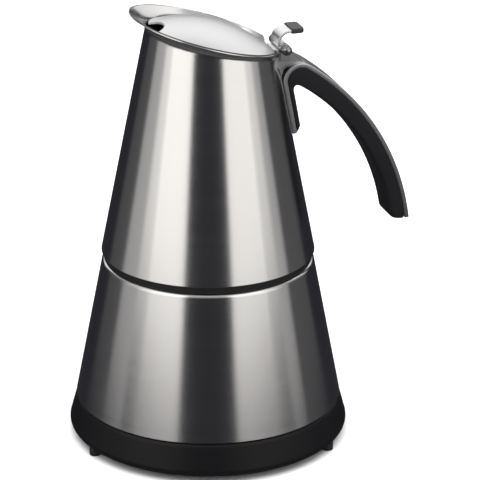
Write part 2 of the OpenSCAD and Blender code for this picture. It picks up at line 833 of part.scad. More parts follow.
module hinge_bracket() {
  top_angle = acos((pin_c[0] + ear_r - bow_x) / bow_r);
  wedge = concat(
    arc(bend_c, bend_r, leg_top_angle, bow_from, 16),
    arc(bow_c, bow_r, bow_from, top_angle, 6),
    [neck_pt + wedge_tip]
  );
  color("silver") difference() {
    union() {
      across(band_w - 2 * bracket_inset) polygon(wedge);
      for (s = [-1, 1]) translate([0, s * (ear_in + ear_t / 2), 0]) across(ear_t) union() {
        translate(pin_c) circle(r = ear_r);
        translate(pin_c - [ear_r, ear_depth]) square([2 * ear_r, ear_depth]);
      }
    }
    jug_cone();
    at_pin() pin_bar(pin_r, band_w + 2 * over);
    at_pin() pin_bar(ear_r, 2 * ear_in);
  }
}

pin_end = 0.5;
pin_l = 2 * (ear_in + ear_t + pin_end);
module hinge_pin() {
  color("silver") at_pin() pin_bar(pin_r, pin_l);
}

// The balls are pressed on, and flat where they meet the ears
ball_sink = 0.85;
module pin_balls() {
  color("silver") at_pin() for (s = [-1, 1]) {
    translate([0, s * (ear_in + ear_t + ball_r * ball_sink), 0]) difference() {
      sphere(r = ball_r);
      pin_bar(pin_r, 4 * ball_r);
    }
  }
}

// ---------------------------------------------------------------- lid

// The slanted rim is an oval whose middle lies off the axis, and the lid's middle with it
lid_x = 1.9;
lid_c = [lid_x, z_rim + lid_lift - lid_x * tan(rim_tilt)];
lid_long_r = lid_r * lid_oval;
dome_r = (lid_r * lid_r + lid_rise * lid_rise) / (2 * lid_rise);

module at_lid() translate([lid_c[0], 0, lid_c[1]]) rotate([0, rim_tilt, 0]) children();
// Place in the X-Z plane of a point that is x along and z above the lid's own plane
function lid_pt(x, z) = lid_c + polar(x, -rim_tilt) + polar(z, 90 - rim_tilt);

module lid_shell() {
  color("gainsboro") at_lid() difference() {
    scale([lid_oval, 1, 1]) rotate_extrude() union() {
      difference() {
        translate([0, lid_rise - dome_r]) intersection() {
          circle(r = dome_r, $fn = 360);
          translate([0, dome_r - lid_rise]) square([lid_r, lid_rise + over]);
        }
        translate([0, lid_rise - dome_r]) circle(r = dome_r - lid_t, $fn = 360);
      }
      translate([lid_r - lid_t, -lid_edge_h]) square([lid_t, lid_edge_h + lid_t / 2]);
    }
    translate([-lid_long_r - notch_r + notch_depth, 0, -lid_edge_h - over])
      cylinder(r = notch_r, h = lid_edge_h + lid_rise + 2 * over);
  }
}

// The tongue butts on the lid's edge and runs out to the barrel on the pin
tongue_t = 1.2;
tongue_w = 2 * barrel_half;
tongue_up = 0.5;
tongue_bite = 2;
module lid_tongue() {
  color("silver") difference() {
    across(tongue_w) union() {
      translate(pin_c) circle(r = barrel_r);
      polygon([
        lid_pt(lid_long_r - tongue_bite, tongue_up), lid_pt(lid_long_r - tongue_bite, tongue_up - tongue_t),
        pin_c - [1, barrel_r - 0.3], pin_c - [1, 0]
      ]);
    }
    at_pin() pin_bar(pin_r + pin_gap, tongue_w + 2 * over);
    at_lid() scale([lid_oval, 1, 1]) cylinder(r = lid_r, h = 4 * tongue_t, center = true);
  }
}

// Lever: a strip that rises from the barrel in a quarter bend and runs out flat
lever_bend_r = 6.4;
lever_back = 3.1;
lever_foot = 1.2;
lever_c = pin_c + [lever_bend_r - lever_back, lever_h - lever_bend_r];
lever_flat = lever_c[0] + lever_reach;
module thumb_lever() {
  inner = lever_bend_r - lever_t;
  z_foot = pin_c[1] + lever_foot;
  color("silver") difference() {
    across(lever_w) polygon(concat(
      [[lever_c[0] - lever_bend_r, z_foot]],
      arc(lever_c, lever_bend_r, 180, 90, 10),
      [[lever_flat, lever_c[1] + lever_bend_r], [lever_flat, lever_c[1] + inner]],
      arc(lever_c, inner, 90, 180, 10),
      [[lever_c[0] - inner, z_foot]]
    ));
    at_pin() pin_bar(barrel_r, lever_w + 2 * over);
  }
}

tip_t = 2.6;
tip_over = 1;
tip_side = 0.5;
module lever_tip() {
  z_mid = lever_c[1] + lever_bend_r - lever_t / 2;
  color("#2a2a2a") difference() {
    across(lever_w + 2 * tip_side) union() {
      translate([lever_flat - tip_over, z_mid - tip_t / 2]) square([tip_l - tip_t / 2, tip_t]);
      translate([lever_flat - tip_over + tip_l - tip_t / 2, z_mid]) circle(r = tip_t / 2);
    }
    across(lever_w) translate([lever_flat - tip_over - over, z_mid - lever_t / 2])
      square([tip_over + over, lever_t]);
  }
}

boiler_shell();
boiler_neck();
boiler_floor();
heat_spreader();
heating_element();
thermostat();
thermal_fuse();
supply_wires();
connector_socket();
contact_rings();
contact_pin();
base_ring();
base_plate();
base_screws();
feet();
valve_body();
valve_gasket();
valve_nut();
valve_spring();
valve_pin();
collar_ring();
basket_cup();
basket_sieve();
basket_funnel();
jug_gasket();
filter_plate();
jug_shell();
jug_floor();
jug_skirt();
column_tube();
column_cap();
handle_band();
handle_grip();
grip_screws();
hinge_bracket();
hinge_pin();
pin_balls();
lid_shell();
lid_tongue();
thumb_lever();
lever_tip();
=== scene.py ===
"""Electric moka pot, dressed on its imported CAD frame.

Every piece keeps the place that the frame gives it. Sizes that the frame does not state are fields of the
class that uses them, in metres. +Z is up, +X points to the handle and -X to the spout.
"""

from __future__ import annotations

import json
import logging
import math
from dataclasses import dataclass, field
from enum import Enum
from typing import Callable, ClassVar, Sequence

import bmesh
import bpy
from mathutils import Matrix, Vector

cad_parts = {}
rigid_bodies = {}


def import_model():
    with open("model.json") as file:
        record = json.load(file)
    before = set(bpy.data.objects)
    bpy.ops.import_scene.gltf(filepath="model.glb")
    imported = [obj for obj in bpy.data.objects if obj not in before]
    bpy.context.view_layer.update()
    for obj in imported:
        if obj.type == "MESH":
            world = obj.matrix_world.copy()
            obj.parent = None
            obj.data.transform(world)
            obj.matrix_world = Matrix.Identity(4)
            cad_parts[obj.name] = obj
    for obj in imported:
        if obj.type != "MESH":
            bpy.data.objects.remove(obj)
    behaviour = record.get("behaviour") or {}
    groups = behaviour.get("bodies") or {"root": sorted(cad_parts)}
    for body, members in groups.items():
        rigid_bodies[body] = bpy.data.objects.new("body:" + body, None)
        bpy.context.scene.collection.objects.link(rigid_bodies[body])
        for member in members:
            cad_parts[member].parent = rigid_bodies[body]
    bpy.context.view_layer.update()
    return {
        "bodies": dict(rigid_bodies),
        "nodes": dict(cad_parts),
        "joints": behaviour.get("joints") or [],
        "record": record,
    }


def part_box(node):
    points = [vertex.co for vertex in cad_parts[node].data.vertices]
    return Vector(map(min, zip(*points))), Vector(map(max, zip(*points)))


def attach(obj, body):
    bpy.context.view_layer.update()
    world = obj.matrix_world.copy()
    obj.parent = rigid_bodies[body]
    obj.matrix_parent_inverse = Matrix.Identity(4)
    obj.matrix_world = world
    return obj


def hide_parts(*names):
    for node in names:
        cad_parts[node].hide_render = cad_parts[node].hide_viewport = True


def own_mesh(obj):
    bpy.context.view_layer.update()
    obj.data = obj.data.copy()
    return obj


LOG = logging.getLogger("moka_pot")
FULL_TURN = 2 * math.pi
ROUND_STEPS = 192
SHARP_ANGLE = 35.0
CREASE_ANGLE = 40.0
RIM_ANGLE = 60.0
MERGE_GAP = 1e-7
SHORTEST = 1e-9
LEVEL_GRAIN = 0.25
BUMP_DEPTH = 0.0001
Mesh = bmesh.types.BMesh
Edge = bmesh.types.BMEdge
Socket = bpy.types.NodeSocket
Colour = tuple[float, float, float]
UP = Vector((0, 0, 1))
ACROSS = Vector((0, 1, 0))
ALONG = Vector((1, 0, 0))


class Grain(Enum):
    """How the fine brush lines of a steel part run."""

    ROUND_POT = "round the pot's axis"
    ROUND_BOW = "along the handle's bow"
    CROSS = "straight, along the part"
    SPUN = "round, seen from above"


# ------------------------------------------------------------------ small tools


def polar(radius: float, degrees: float) -> Vector:
    """A 2-D point at a distance and a direction."""
    angle = math.radians(degrees)
    return Vector((radius * math.cos(angle), radius * math.sin(angle)))


def arc(centre: Vector, radius: float, start: float, end: float, steps: int) -> list[Vector]:
    """Points of an arc in a plane.

    Args:
        centre: Centre of the arc.
        radius: Its radius.
        start: First angle, in degrees.
        end: Last angle, in degrees.
        steps: Number of pieces between them.

    Returns:
        The points, first to last.
    """
    return [centre + polar(radius, start + (end - start) * i / steps) for i in range(steps + 1)]


def smooth_step(value: float) -> float:
    """Eases 0 to 1, flat at both ends."""
    t = min(max(value, 0.0), 1.0)
    return t * t * (3 - 2 * t)


def evenly(points: Sequence[Vector], count: int) -> list[Vector]:
    """Walks along a line of points in equal steps.

    Args:
        points: The line.
        count: Number of steps.

    Returns:
        One more point than steps.
    """
    lengths = [0.0]
    for one, two in zip(points, points[1:]):
        lengths.append(lengths[-1] + (two - one).length)
    found, k = [], 0
    for i in range(count + 1):
        goal = lengths[-1] * i / count
        while k < len(points) - 2 and lengths[k + 1] < goal:
            k += 1
        share = (goal - lengths[k]) / max(lengths[k + 1] - lengths[k], SHORTEST)
        found.append(points[k].lerp(points[k + 1], min(share, 1.0)))
    return found


def settle_normals(bm: Mesh) -> None:
    """Merges doubles and turns every face outwards."""
    bmesh.ops.remove_doubles(bm, verts=bm.verts, dist=MERGE_GAP)
    bmesh.ops.recalc_face_normals(bm, faces=bm.faces)


def turned(points: Sequence[Vector], steps: int = ROUND_STEPS, closed: bool = True) -> Mesh:
    """Turns a profile round the pot's axis.

    Args:
        points: Radius and height of each profile point.
        steps: Facets round the axis.
        closed: Whether the profile's ends are joined; if not, both lie on the axis.

    Returns:
        The turned solid, with its faces outwards.
    """
    bm = bmesh.new()
    verts = [bm.verts.new((point[0], 0.0, point[1])) for point in points]
    ends = verts[1:] + verts[:1] if closed else verts[1:]
    geom = [bm.edges.new(pair) for pair in zip(verts, ends)] + verts
    bmesh.ops.spin(bm, geom=geom, cent=(0, 0, 0), axis=UP, angle=FULL_TURN, steps=steps, use_merge=True)
    settle_normals(bm)
    return bm


def swept(sides: int, steps: int, place: Callable[[int, int], Vector]) -> Mesh:
    """Carries a closed section along a path.

    Args:
        sides: Points of the section.
        steps: Pieces along the path.
        place: Gives the place of a section point, by its number, at a step of the path.

    Returns:
        The bar, closed at both ends.
    """
    bm = bmesh.new()
    bmesh.ops.create_cone(bm, cap_ends=True, segments=sides, radius1=1, radius2=1, depth=2)
    upright = [e for e in bm.edges if abs(e.verts[0].co.z - e.verts[1].co.z) > 1]
    bmesh.ops.subdivide_edges(bm, edges=upright, cuts=steps - 1)
    for vert in bm.verts:
        turn = math.atan2(vert.co.y, vert.co.x) / FULL_TURN * sides
        vert.co = place(round(turn) % sides, round((vert.co.z + 1) / 2 * steps))
    settle_normals(bm)
    return bm


def ribbon(path: Sequence[Vector], section: Sequence[Vector]) -> Mesh:
    """Sweeps a section along a path in the X-Z plane.

    Args:
        path: Points of the path.
        section: Y of each of its points, and how far to the left of the path it lies.

    Returns:
        The strip, closed at both ends.
    """
    last = len(path) - 1

    def place(side: int, step: int) -> Vector:
        """Gives a point of the strip.

        Args:
            side: Number of the section's point.
            step: Number of the path's point.

        Returns:
            Its place.
        """
        way = (path[min(step + 1, last)] - path[max(step - 1, 0)]).normalized()
        across, off = section[side]
        point = path[step] + off * Vector((-way[1], way[0]))
        return Vector((point[0], across, point[1]))

    return swept(len(section), last, place)


def slab(outline: Sequence[Vector], low: float, high: float) -> Mesh:
    """Extrudes an outline in the X-Z plane.

    Args:
        outline: Its points.
        low: Y of the first face.
        high: Y of the last face.

    Returns:
        The solid slab.
    """
    bm = bmesh.new()
    face = bm.faces.new([bm.verts.new((point[0], low, point[1])) for point in outline])
    grown = bmesh.ops.extrude_face_region(bm, geom=[face])["geom"]
    moved = [part for part in grown if isinstance(part, bmesh.types.BMVert)]
    bmesh.ops.translate(bm, verts=moved, vec=(0, high - low, 0))
    settle_normals(bm)
    return bm


def sharp_edges(bm: Mesh, angle: float) -> list[Edge]:
    """Edges whose faces meet at more than an angle in degrees."""
    limit = math.radians(angle)
    return [e for e in bm.edges if len(e.link_faces) == 2 and e.calc_face_angle(0.0) > limit]


def bevel(bm: Mesh, edges: Sequence[Edge], radius: float, segments: int) -> None:
    """Rounds some edges of a mesh.

    Args:
        bm: The mesh.
        edges: The edges to round.
        radius: Size of the rounding.
        segments: Facets of the rounding.
    """
    bmesh.ops.bevel(
        bm, geom=edges, offset=radius, segments=segments, profile=0.5, affect="EDGES", material=-1
    )


def rounded(bm: Mesh, radius: float, segments: int = 3, angle: float = CREASE_ANGLE) -> Mesh:
    """Rounds every sharp edge of a mesh.

    Args:
        bm: The mesh.
        radius: Size of the rounding.
        segments: Facets of the rounding.
        angle: Edges flatter than this stay, in degrees.

    Returns:
        The same mesh.
    """
    bevel(bm, sharp_edges(bm, angle), radius, segments)
    bmesh.ops.recalc_face_normals(bm, faces=bm.faces)
    return bm


def oblong(width: float, height: float, radius: float, steps: int = 3) -> list[Vector]:
    """Outline of a rectangle with rounded corners, its middle at the origin.

    Args:
        width: Size across.
        height: Size up.
        radius: Radius of the corners.
        steps: Pieces in each corner.

    Returns:
        The outline's points, counter-clockwise.
    """
    across, up = width / 2 - radius, height / 2 - radius
    outline = []
    for i, corner in enumerate(((across, up), (-across, up), (-across, -up), (across, -up))):
        outline += arc(Vector(corner), radius, 90 * i, 90 * i + 90, steps)
    return outline


def rod(radius: float, length: float, centre: Vector, direction: Vector, sides: int = 48) -> Mesh:
    """A round bar.

    Args:
        radius: Its radius.
        length: Its length.
        centre: Its middle.
        direction: The way that its axis points.
        sides: Facets round it.

    Returns:
        The bar.
    """
    bm = bmesh.new()
    turn = UP.rotation_difference(direction).to_matrix()
    bmesh.ops.create_cone(bm, cap_ends=True, segments=sides, radius1=radius, radius2=radius, depth=length)
    bmesh.ops.rotate(bm, cent=(0, 0, 0), matrix=turn, verts=bm.verts)
    bmesh.ops.translate(bm, verts=bm.verts, vec=centre)
    return bm


def joined(*parts: Mesh) -> Mesh:
    """Puts several meshes into one.

    Args:
        parts: The meshes; all but the first are used up.

    Returns:
        The first mesh, with the others in it.
    """
    whole = parts[0]
    for part in parts[1:]:
        mesh = bpy.data.meshes.new("part")
        part.to_mesh(mesh)
        part.free()
        whole.from_mesh(mesh)
        bpy.data.meshes.remove(mesh)
    return whole


def cut(bm: Mesh, cutter: Mesh) -> Mesh:
    """Cuts one solid out of another.

    Args:
        bm: The solid that is cut, which is used up.
        cutter: The solid that cuts, which is used up.

    Returns:
        What is left.
    """
    objects = []
    for solid in (bm, cutter):
        mesh = bpy.data.meshes.new("solid")
        solid.to_mesh(mesh)
        solid.free()
        objects.append(bpy.data.objects.new("solid", mesh))
        bpy.context.scene.collection.objects.link(objects[-1])
    body, tool = objects
    modifier = body.modifiers.new("cut", "BOOLEAN")
    modifier.operation, modifier.solver, modifier.object = "DIFFERENCE", "EXACT", tool
    graph = bpy.context.evaluated_depsgraph_get()
    left = bmesh.new()
    left.from_object(body, graph)
    for thing in objects:
        mesh = thing.data
        bpy.data.objects.remove(thing)
        bpy.data.meshes.remove(mesh)
    settle_normals(left)
    return left


# ------------------------------------------------------------------ materials


@dataclass(frozen=True)
class Speckle:
    """How fine and rough a noise texture is."""

    scale: float
    detail: float = 3.0
    rough: float = 0.5


class Nodes:
    """A material's node tree, written from short calls."""

    def __init__(self, name: str) -> None:
        """Starts a material that holds nothing but its shader.

        Args:
            name: Name of the material.
        """
        self.material = bpy.data.materials.new(name)
        self.material.use_nodes = True
        self.tree = self.material.node_tree
        self.tree.nodes.clear()
        self.shader = self.add("ShaderNodeBsdfPrincipled")
        output = self.add("ShaderNodeOutputMaterial")
        self.join(self.shader.outputs["BSDF"], output.inputs["Surface"])

    def add(self, kind: str, **settings: object) -> bpy.types.Node:
        """Adds a node.

        Args:
            kind: Blender's name of the node type.
            settings: Properties to set on it.

        Returns:
            The node.
        """
        node = self.tree.nodes.new(kind)
        for key, value in settings.items():
            setattr(node, key, value)
        return node

    def join(self, source: Socket, target: Socket) -> None:
        """Links two sockets."""
        self.tree.links.new(source, target)

    def feed(self, target: Socket, value: object) -> None:
        """Links or sets a socket.

        Args:
            target: The socket.
            value: A socket to link to it, or a number or colour to set.
        """
        if isinstance(value, Socket):
            self.join(value, target)
        else:
            target.default_value = value

    def math(self, operation: str, *values: object) -> Socket:
        """Adds a Math node.

        Args:
            operation: Blender's name of the operation.
            values: Its inputs, as sockets or numbers.

        Returns:
            Its result.
        """
        node = self.add("ShaderNodeMath", operation=operation)
        for socket, value in zip(node.inputs, values):
            self.feed(socket, value)
        return node.outputs[0]

    def place(self) -> Socket:
        """Object coordinates."""
        return self.add("ShaderNodeTexCoord").outputs["Object"]

    def radius(self, one: Socket, two: Socket) -> Socket:
        """Distance from the axis of two coordinates."""
        squares = [self.math("POWER", part, 2.0) for part in (one, two)]
        return self.math("SQRT", self.math("ADD", *squares))

    def noise(self, vector: Socket, kind: Speckle) -> Socket:
        """Adds a noise texture.

        Args:
            vector: Where it is read.
            kind: How fine and rough it is.

        Returns:
            Its value.
        """
        node = self.add("ShaderNodeTexNoise")
        self.join(vector, node.inputs["Vector"])
        node.inputs["Scale"].default_value = kind.scale
        node.inputs["Detail"].default_value = kind.detail
        node.inputs["Roughness"].default_value = kind.rough
        return node.outputs[0]

    def span(self, value: Socket, low: float, high: float, start: float = 0.0, end: float = 1.0) -> Socket:
        """Maps a value from one range to another.

        Args:
            value: The value.
            low: Result at the start.
            high: Result at the end.
            start: Value that gives low.
            end: Value that gives high.

        Returns:
            The mapped value.
        """
        node = self.add("ShaderNodeMapRange")
        for name, number in (("From Min", start), ("From Max", end), ("To Min", low), ("To Max", high)):
            node.inputs[name].default_value = number
        self.join(value, node.inputs["Value"])
        return node.outputs[0]

    def blend(self, share: Socket, first: Sequence[float], second: Sequence[float]) -> Socket:
        """Mixes two colours.

        Args:
            share: How much of the second colour.
            first: One colour.
            second: The other colour.

        Returns:
            The mix.
        """
        node = self.add("ShaderNodeMix", data_type="RGBA")
        self.join(share, node.inputs["Factor"])
        node.inputs["A"].default_value = (*first, 1)
        node.inputs["B"].default_value = (*second, 1)
        return node.outputs["Result"]

    def bump(self, height: Socket, strength: float) -> None:
        """Gives the shader a fine relief.

        Args:
            height: Where it stands high.
            strength: How much of it shows.
        """
        node = self.add("ShaderNodeBump")
        node.inputs["Strength"].default_value = strength
        node.inputs["Distance"].default_value = BUMP_DEPTH
        self.join(height, node.inputs["Height"])
        self.join(node.outputs["Normal"], self.shader.inputs["Normal"])

    def set(self, **values: object) -> None:
        """Sets or links the shader's sockets, named with underscores for spaces."""
        for key, value in values.items():
            self.feed(self.shader.inputs[key.replace("_", " ")], value)


@dataclass(frozen=True)
class BrushedSteel:
    """Stainless steel with fine brush lines."""

    name: str
    grain: Grain
    tint: Colour = (0.66, 0.65, 0.64)
    dark: float = 0.94
    roughness: float = 0.215
    spread: float = 0.05
    anisotropy: float = 0.5
    lines: float = 2200.0
    relief: float = 0.01
    fine: Speckle = Speckle(1.0, 4.0, 0.65)
    wide: Speckle = Speckle(0.12)
    cloud: Speckle = Speckle(18.0)
    fine_share: float = 0.7
    cloud_depth: float = 0.02
    shade_range: tuple[float, float] = (0.3, 0.7)
    axis_gap: float = 0.001
    round_pace: float = 1.2
    bow_pace: float = 3.0
    straight_pace: float = 30.0

    def lined_place(self, nodes: Nodes) -> Socket:
        """Coordinates that are drawn out along the brush lines.

        Args:
            nodes: The material's nodes.

        Returns:
            The drawn-out coordinates.
        """
        parts = nodes.add("ShaderNodeSeparateXYZ")
        nodes.join(nodes.place(), parts.inputs[0])
        x, y, z = (parts.outputs[i] for i in range(3))
        if self.grain is Grain.ROUND_BOW:
            turn = nodes.math("ARCTAN2", z, x)
            way = ((turn, self.bow_pace), (y, self.lines), (nodes.radius(x, z), self.lines))
        elif self.grain is Grain.CROSS:
            way = ((x, self.straight_pace), (y, self.lines), (z, self.straight_pace))
        else:
            radius = nodes.radius(x, y)
            safe = nodes.math("MAXIMUM", radius, self.axis_gap)
            level = z if self.grain is Grain.ROUND_POT else radius
            turns = [(nodes.math("DIVIDE", part, safe), self.round_pace) for part in (x, y)]
            way = (*turns, (level, self.lines))
        out = nodes.add("ShaderNodeCombineXYZ")
        for socket, (part, scale) in zip(out.inputs, way):
            nodes.join(nodes.math("MULTIPLY", part, scale), socket)
        return out.outputs[0]

    def build(self) -> bpy.types.Material:
        """Makes the material.

        Returns:
            The new material.
        """
        nodes = Nodes(self.name)
        lined = self.lined_place(nodes)
        fine = nodes.math("MULTIPLY", nodes.noise(lined, self.fine), self.fine_share)
        wide = nodes.math("MULTIPLY", nodes.noise(lined, self.wide), 1 - self.fine_share)
        mixed = nodes.math("ADD", fine, wide)
        cloud = nodes.span(nodes.noise(nodes.place(), self.cloud), -self.cloud_depth, self.cloud_depth)
        low, high = self.roughness - self.spread / 2, self.roughness + self.spread / 2
        rough = nodes.math("ADD", nodes.span(mixed, low, high, *self.shade_range), cloud)
        shade = nodes.span(mixed, 0.0, 1.0, *self.shade_range)
        dim = [c * self.dark for c in self.tint]
        nodes.set(Base_Color=nodes.blend(shade, dim, self.tint), Metallic=1.0, Roughness=rough)
        if self.anisotropy:
            nodes.set(Anisotropic=self.anisotropy, Anisotropic_Rotation=LEVEL_GRAIN)
            tangent = nodes.add("ShaderNodeTangent", direction_type="RADIAL", axis="Z")
            nodes.join(tangent.outputs[0], nodes.shader.inputs["Tangent"])
        nodes.bump(mixed, self.relief)
        return nodes.material


@dataclass(frozen=True)
class Moulded:
    """Moulded plastic or rubber, with its fine surface grain."""

    name: str
    colour: Colour
    roughness: float
    relief: float
    specular: float = 0.5
    grain: Speckle = Speckle(900.0, 3.0, 0.6)
    cloud: Speckle = Speckle(25.0)
    mottle: float = 0.15
    haze: float = 0.001

    def build(self) -> bpy.types.Material:
        """Makes the material.

        Returns:
            The new material.
        """
        nodes = Nodes(self.name)
        place = nodes.place()
        cloud = nodes.noise(place, self.cloud)
        light = [min(1.0, c * (1 + self.mottle) + self.haze) for c in self.colour]
        deep = [c * (1 - self.mottle) for c in self.colour]
        swing = self.mottle * self.roughness
        nodes.set(
            Base_Color=nodes.blend(cloud, deep, light),
            Roughness=nodes.span(cloud, self.roughness - swing, self.roughness + swing),
            Specular_IOR_Level=self.specular,
        )
        nodes.bump(nodes.noise(place, self.grain), self.relief)
        return nodes.material


@dataclass(frozen=True)
class PlainMetal:
    """Turned or cast metal with slight unevenness."""

    name: str
    tint: Colour
    roughness: float
    spots: Speckle = Speckle(300.0, 4.0, 0.6)
    uneven: float = 0.1
    relief: float = 0.05

    def build(self) -> bpy.types.Material:
        """Makes the material.

        Returns:
            The new material.
        """
        nodes = Nodes(self.name)
        spots = nodes.noise(nodes.place(), self.spots)
        deep = [c * (1 - self.uneven) for c in self.tint]
        swing = 2 * self.uneven * self.roughness
        nodes.set(
            Base_Color=nodes.blend(spots, deep, self.tint),
            Metallic=1.0,
            Roughness=nodes.span(spots, self.roughness - swing, self.roughness + swing),
        )
        nodes.bump(spots, self.relief)
        return nodes.material


# ------------------------------------------------------------------ the studio


@dataclass(frozen=True)
class SoftBox:
    """An upright soft box, at an angle from the camera's side of the pot.

    Attributes:
        name: Name of the light.
        azimuth: Direction of its middle, in degrees, positive to the camera's right.
        half_angle: Half of the angle that it covers, in degrees.
        radiance: How bright its face is.
        distance: Distance from the pot.
        bottom: Height of its lower edge.
        top: Height of its upper edge.
        tint: Colour of the light.
    """

    name: str
    azimuth: float
    half_angle: float
    radiance: float
    distance: float = 1.0
    bottom: float = -0.02
    top: float = 1.5
    tint: Colour = (1.0, 1.0, 1.0)


@dataclass
class Studio:
    """Camera, lights and floor.

    Attributes:
        distance: Level distance of the camera from the pot's axis.
        camera_height: Height of the camera.
        azimuth: Direction of the camera round the pot, in degrees from -Y; negative is towards the spout.
        pitch: How far the camera looks down, in degrees.
        sensor: Width of the sensor, in millimetres.
        lens: Focal length, in millimetres.
        shift: Shift of the lens to the side.
        reach: How far the camera sees.
        top_size: Width of the light overhead.
        top_power: Power of the light overhead, in watts.
        top_z: Height of the light overhead.
        room: Colours of the room that the steel mirrors, from straight down (-1) to straight up (1).
        backdrop: Colour of the room as the camera sees it.
        floor_size: Half of the floor's width.
        paper: The two greys of the floor's paper.
        paper_grain: How the two greys mix.
        paper_roughness: Roughness of the paper.
    """

    distance: float = 1.35
    camera_height: float = 0.6396
    azimuth: float = -17.0
    pitch: float = 21.77
    sensor: float = 36.0
    lens: float = 219.1
    shift: float = 0.0667
    reach: float = 50.0
    top_size: float = 4.5
    top_power: float = 140.0
    top_z: float = 3.0
    room: tuple[tuple[float, Colour], ...] = (
        (-0.8, (0.12, 0.12, 0.125)),
        (-0.35, (0.022, 0.023, 0.029)),
        (0.24, (0.022, 0.023, 0.029)),
        (0.84, (0.62, 0.62, 0.62)),
    )
    backdrop: Colour = (0.95, 0.95, 0.95)
    floor_size: float = 8.0
    paper: tuple[Colour, Colour] = ((0.90, 0.90, 0.90), (0.92, 0.92, 0.92))
    paper_grain: Speckle = Speckle(40.0)
    paper_roughness: float = 0.9

    def camera(self) -> None:
        """Stands the camera before the pot, a little to its left, and makes it the scene's camera."""
        data = bpy.data.cameras.new("camera")
        data.sensor_width = self.sensor
        data.lens = self.lens
        data.shift_x = self.shift
        data.clip_end = self.reach
        eye = bpy.data.objects.new("camera", data)
        a = math.radians(self.azimuth)
        eye.location = (self.distance * math.sin(a), -self.distance * math.cos(a), self.camera_height)
        eye.rotation_euler = (math.radians(90 - self.pitch), 0, a)
        bpy.context.scene.collection.objects.link(eye)
        bpy.context.scene.camera = eye

    def panel(self, box: SoftBox) -> None:
        """Adds an upright soft box that faces the pot's axis.

        Args:
            box: The box.
        """
        data = bpy.data.lights.new(box.name, "AREA")
        data.shape = "RECTANGLE"
        data.size = 2 * box.distance * math.tan(math.radians(box.half_angle))
        data.size_y = box.top - box.bottom
        data.energy = box.radiance * math.pi * data.size * data.size_y
        data.color = box.tint
        lamp = bpy.data.objects.new(box.name, data)
        turn = math.radians(box.azimuth + self.azimuth)
        out = Vector((math.sin(turn), -math.cos(turn), 0))
        lamp.location = out * box.distance + UP * (box.top + box.bottom) / 2
        lamp.rotation_euler = (-out).to_track_quat("-Z", "Y").to_euler()
        bpy.context.scene.collection.objects.link(lamp)

    def lights(self) -> None:
        """Adds a bright, a dimmer and two faint soft boxes on each side, and one behind."""
        warm, cool = (1.0, 0.985, 0.96), (1.0, 0.99, 0.98)
        for box in (
            SoftBox("left_box", -42.5, 18.5, 1.55, tint=warm),
            SoftBox("left_edge", -68, 8, 1.1, tint=warm),
            SoftBox("left_wing", -87, 11, 0.5, bottom=-0.12, tint=cool),
            SoftBox("left_far", -112, 12, 0.07, bottom=-0.2, tint=cool),
            SoftBox("right_box", 42.5, 18.5, 1.38, tint=warm),
            SoftBox("right_edge", 68, 8, 1.0, tint=warm),
            SoftBox("right_wing", 83, 7, 0.5, bottom=-0.12, tint=cool),
            SoftBox("right_far", 108, 14, 0.08, bottom=-0.2, tint=cool),
            SoftBox("back_box", 172, 50, 1.0, distance=1.4, bottom=0.42, top=2.4),
        ):
            self.panel(box)

    def overhead(self) -> None:
        """Adds the round light overhead, which the steel does not mirror."""
        data = bpy.data.lights.new("top_box", "AREA")
        data.shape, data.size, data.energy = "DISK", self.top_size, self.top_power
        lamp = bpy.data.objects.new("top_box", data)
        lamp.location = UP * self.top_z
        lamp.visible_glossy = False
        bpy.context.scene.collection.objects.link(lamp)

    def surroundings(self) -> None:
        """Makes the room: dim all round for the steel to mirror, and pale to the camera."""
        world = bpy.data.worlds.new("room")
        world.use_nodes = True
        tree = world.node_tree
        place, parts, height, ramp, seen, shade = (
            tree.nodes.new(f"ShaderNode{kind}")
            for kind in ("TexCoord", "SeparateXYZ", "MapRange", "ValToRGB", "LightPath", "Mix")
        )
        height.inputs["From Min"].default_value = -1.0
        stops = ramp.color_ramp.elements
        for level, colour in self.room:
            stops.new((level + 1) / 2).color = (*colour, 1)
        for spare in (-1, 0):
            stops.remove(stops[spare])
        shade.data_type = "RGBA"
        shade.inputs["B"].default_value = (*self.backdrop, 1)
        for source, target in (
            (place.outputs["Generated"], parts.inputs[0]),
            (parts.outputs["Z"], height.inputs["Value"]),
            (height.outputs[0], ramp.inputs["Fac"]),
            (seen.outputs["Is Camera Ray"], shade.inputs["Factor"]),
            (ramp.outputs["Color"], shade.inputs["A"]),
            (shade.outputs["Result"], tree.nodes["Background"].inputs["Color"]),
        ):
            tree.links.new(source, target)
        bpy.context.scene.world = world

    def floor(self) -> None:
        """A plain pale floor, far larger than the view."""
        bm = bmesh.new()
        bmesh.ops.create_grid(bm, x_segments=1, y_segments=1, size=self.floor_size)
        mesh = bpy.data.meshes.new("floor")
        bm.to_mesh(mesh)
        bm.free()
        ground = bpy.data.objects.new("floor", mesh)
        bpy.context.scene.collection.objects.link(ground)
        nodes = Nodes("floor_paper")
        speckle = nodes.noise(nodes.place(), self.paper_grain)
        nodes.set(Base_Color=nodes.blend(speckle, *self.paper), Roughness=self.paper_roughness)
        mesh.materials.append(nodes.material)
        ground.visible_glossy = False
        ground.visible_shadow = False

    def build(self) -> None:
        """Sets up the whole studio."""
        self.camera()
        self.lights()
        self.overhead()
        self.surroundings()
        self.floor()
        view = bpy.context.scene.view_settings
        view.view_transform = "Standard"
        view.look = "None"


# ------------------------------------------------------------------ the sub-assemblies


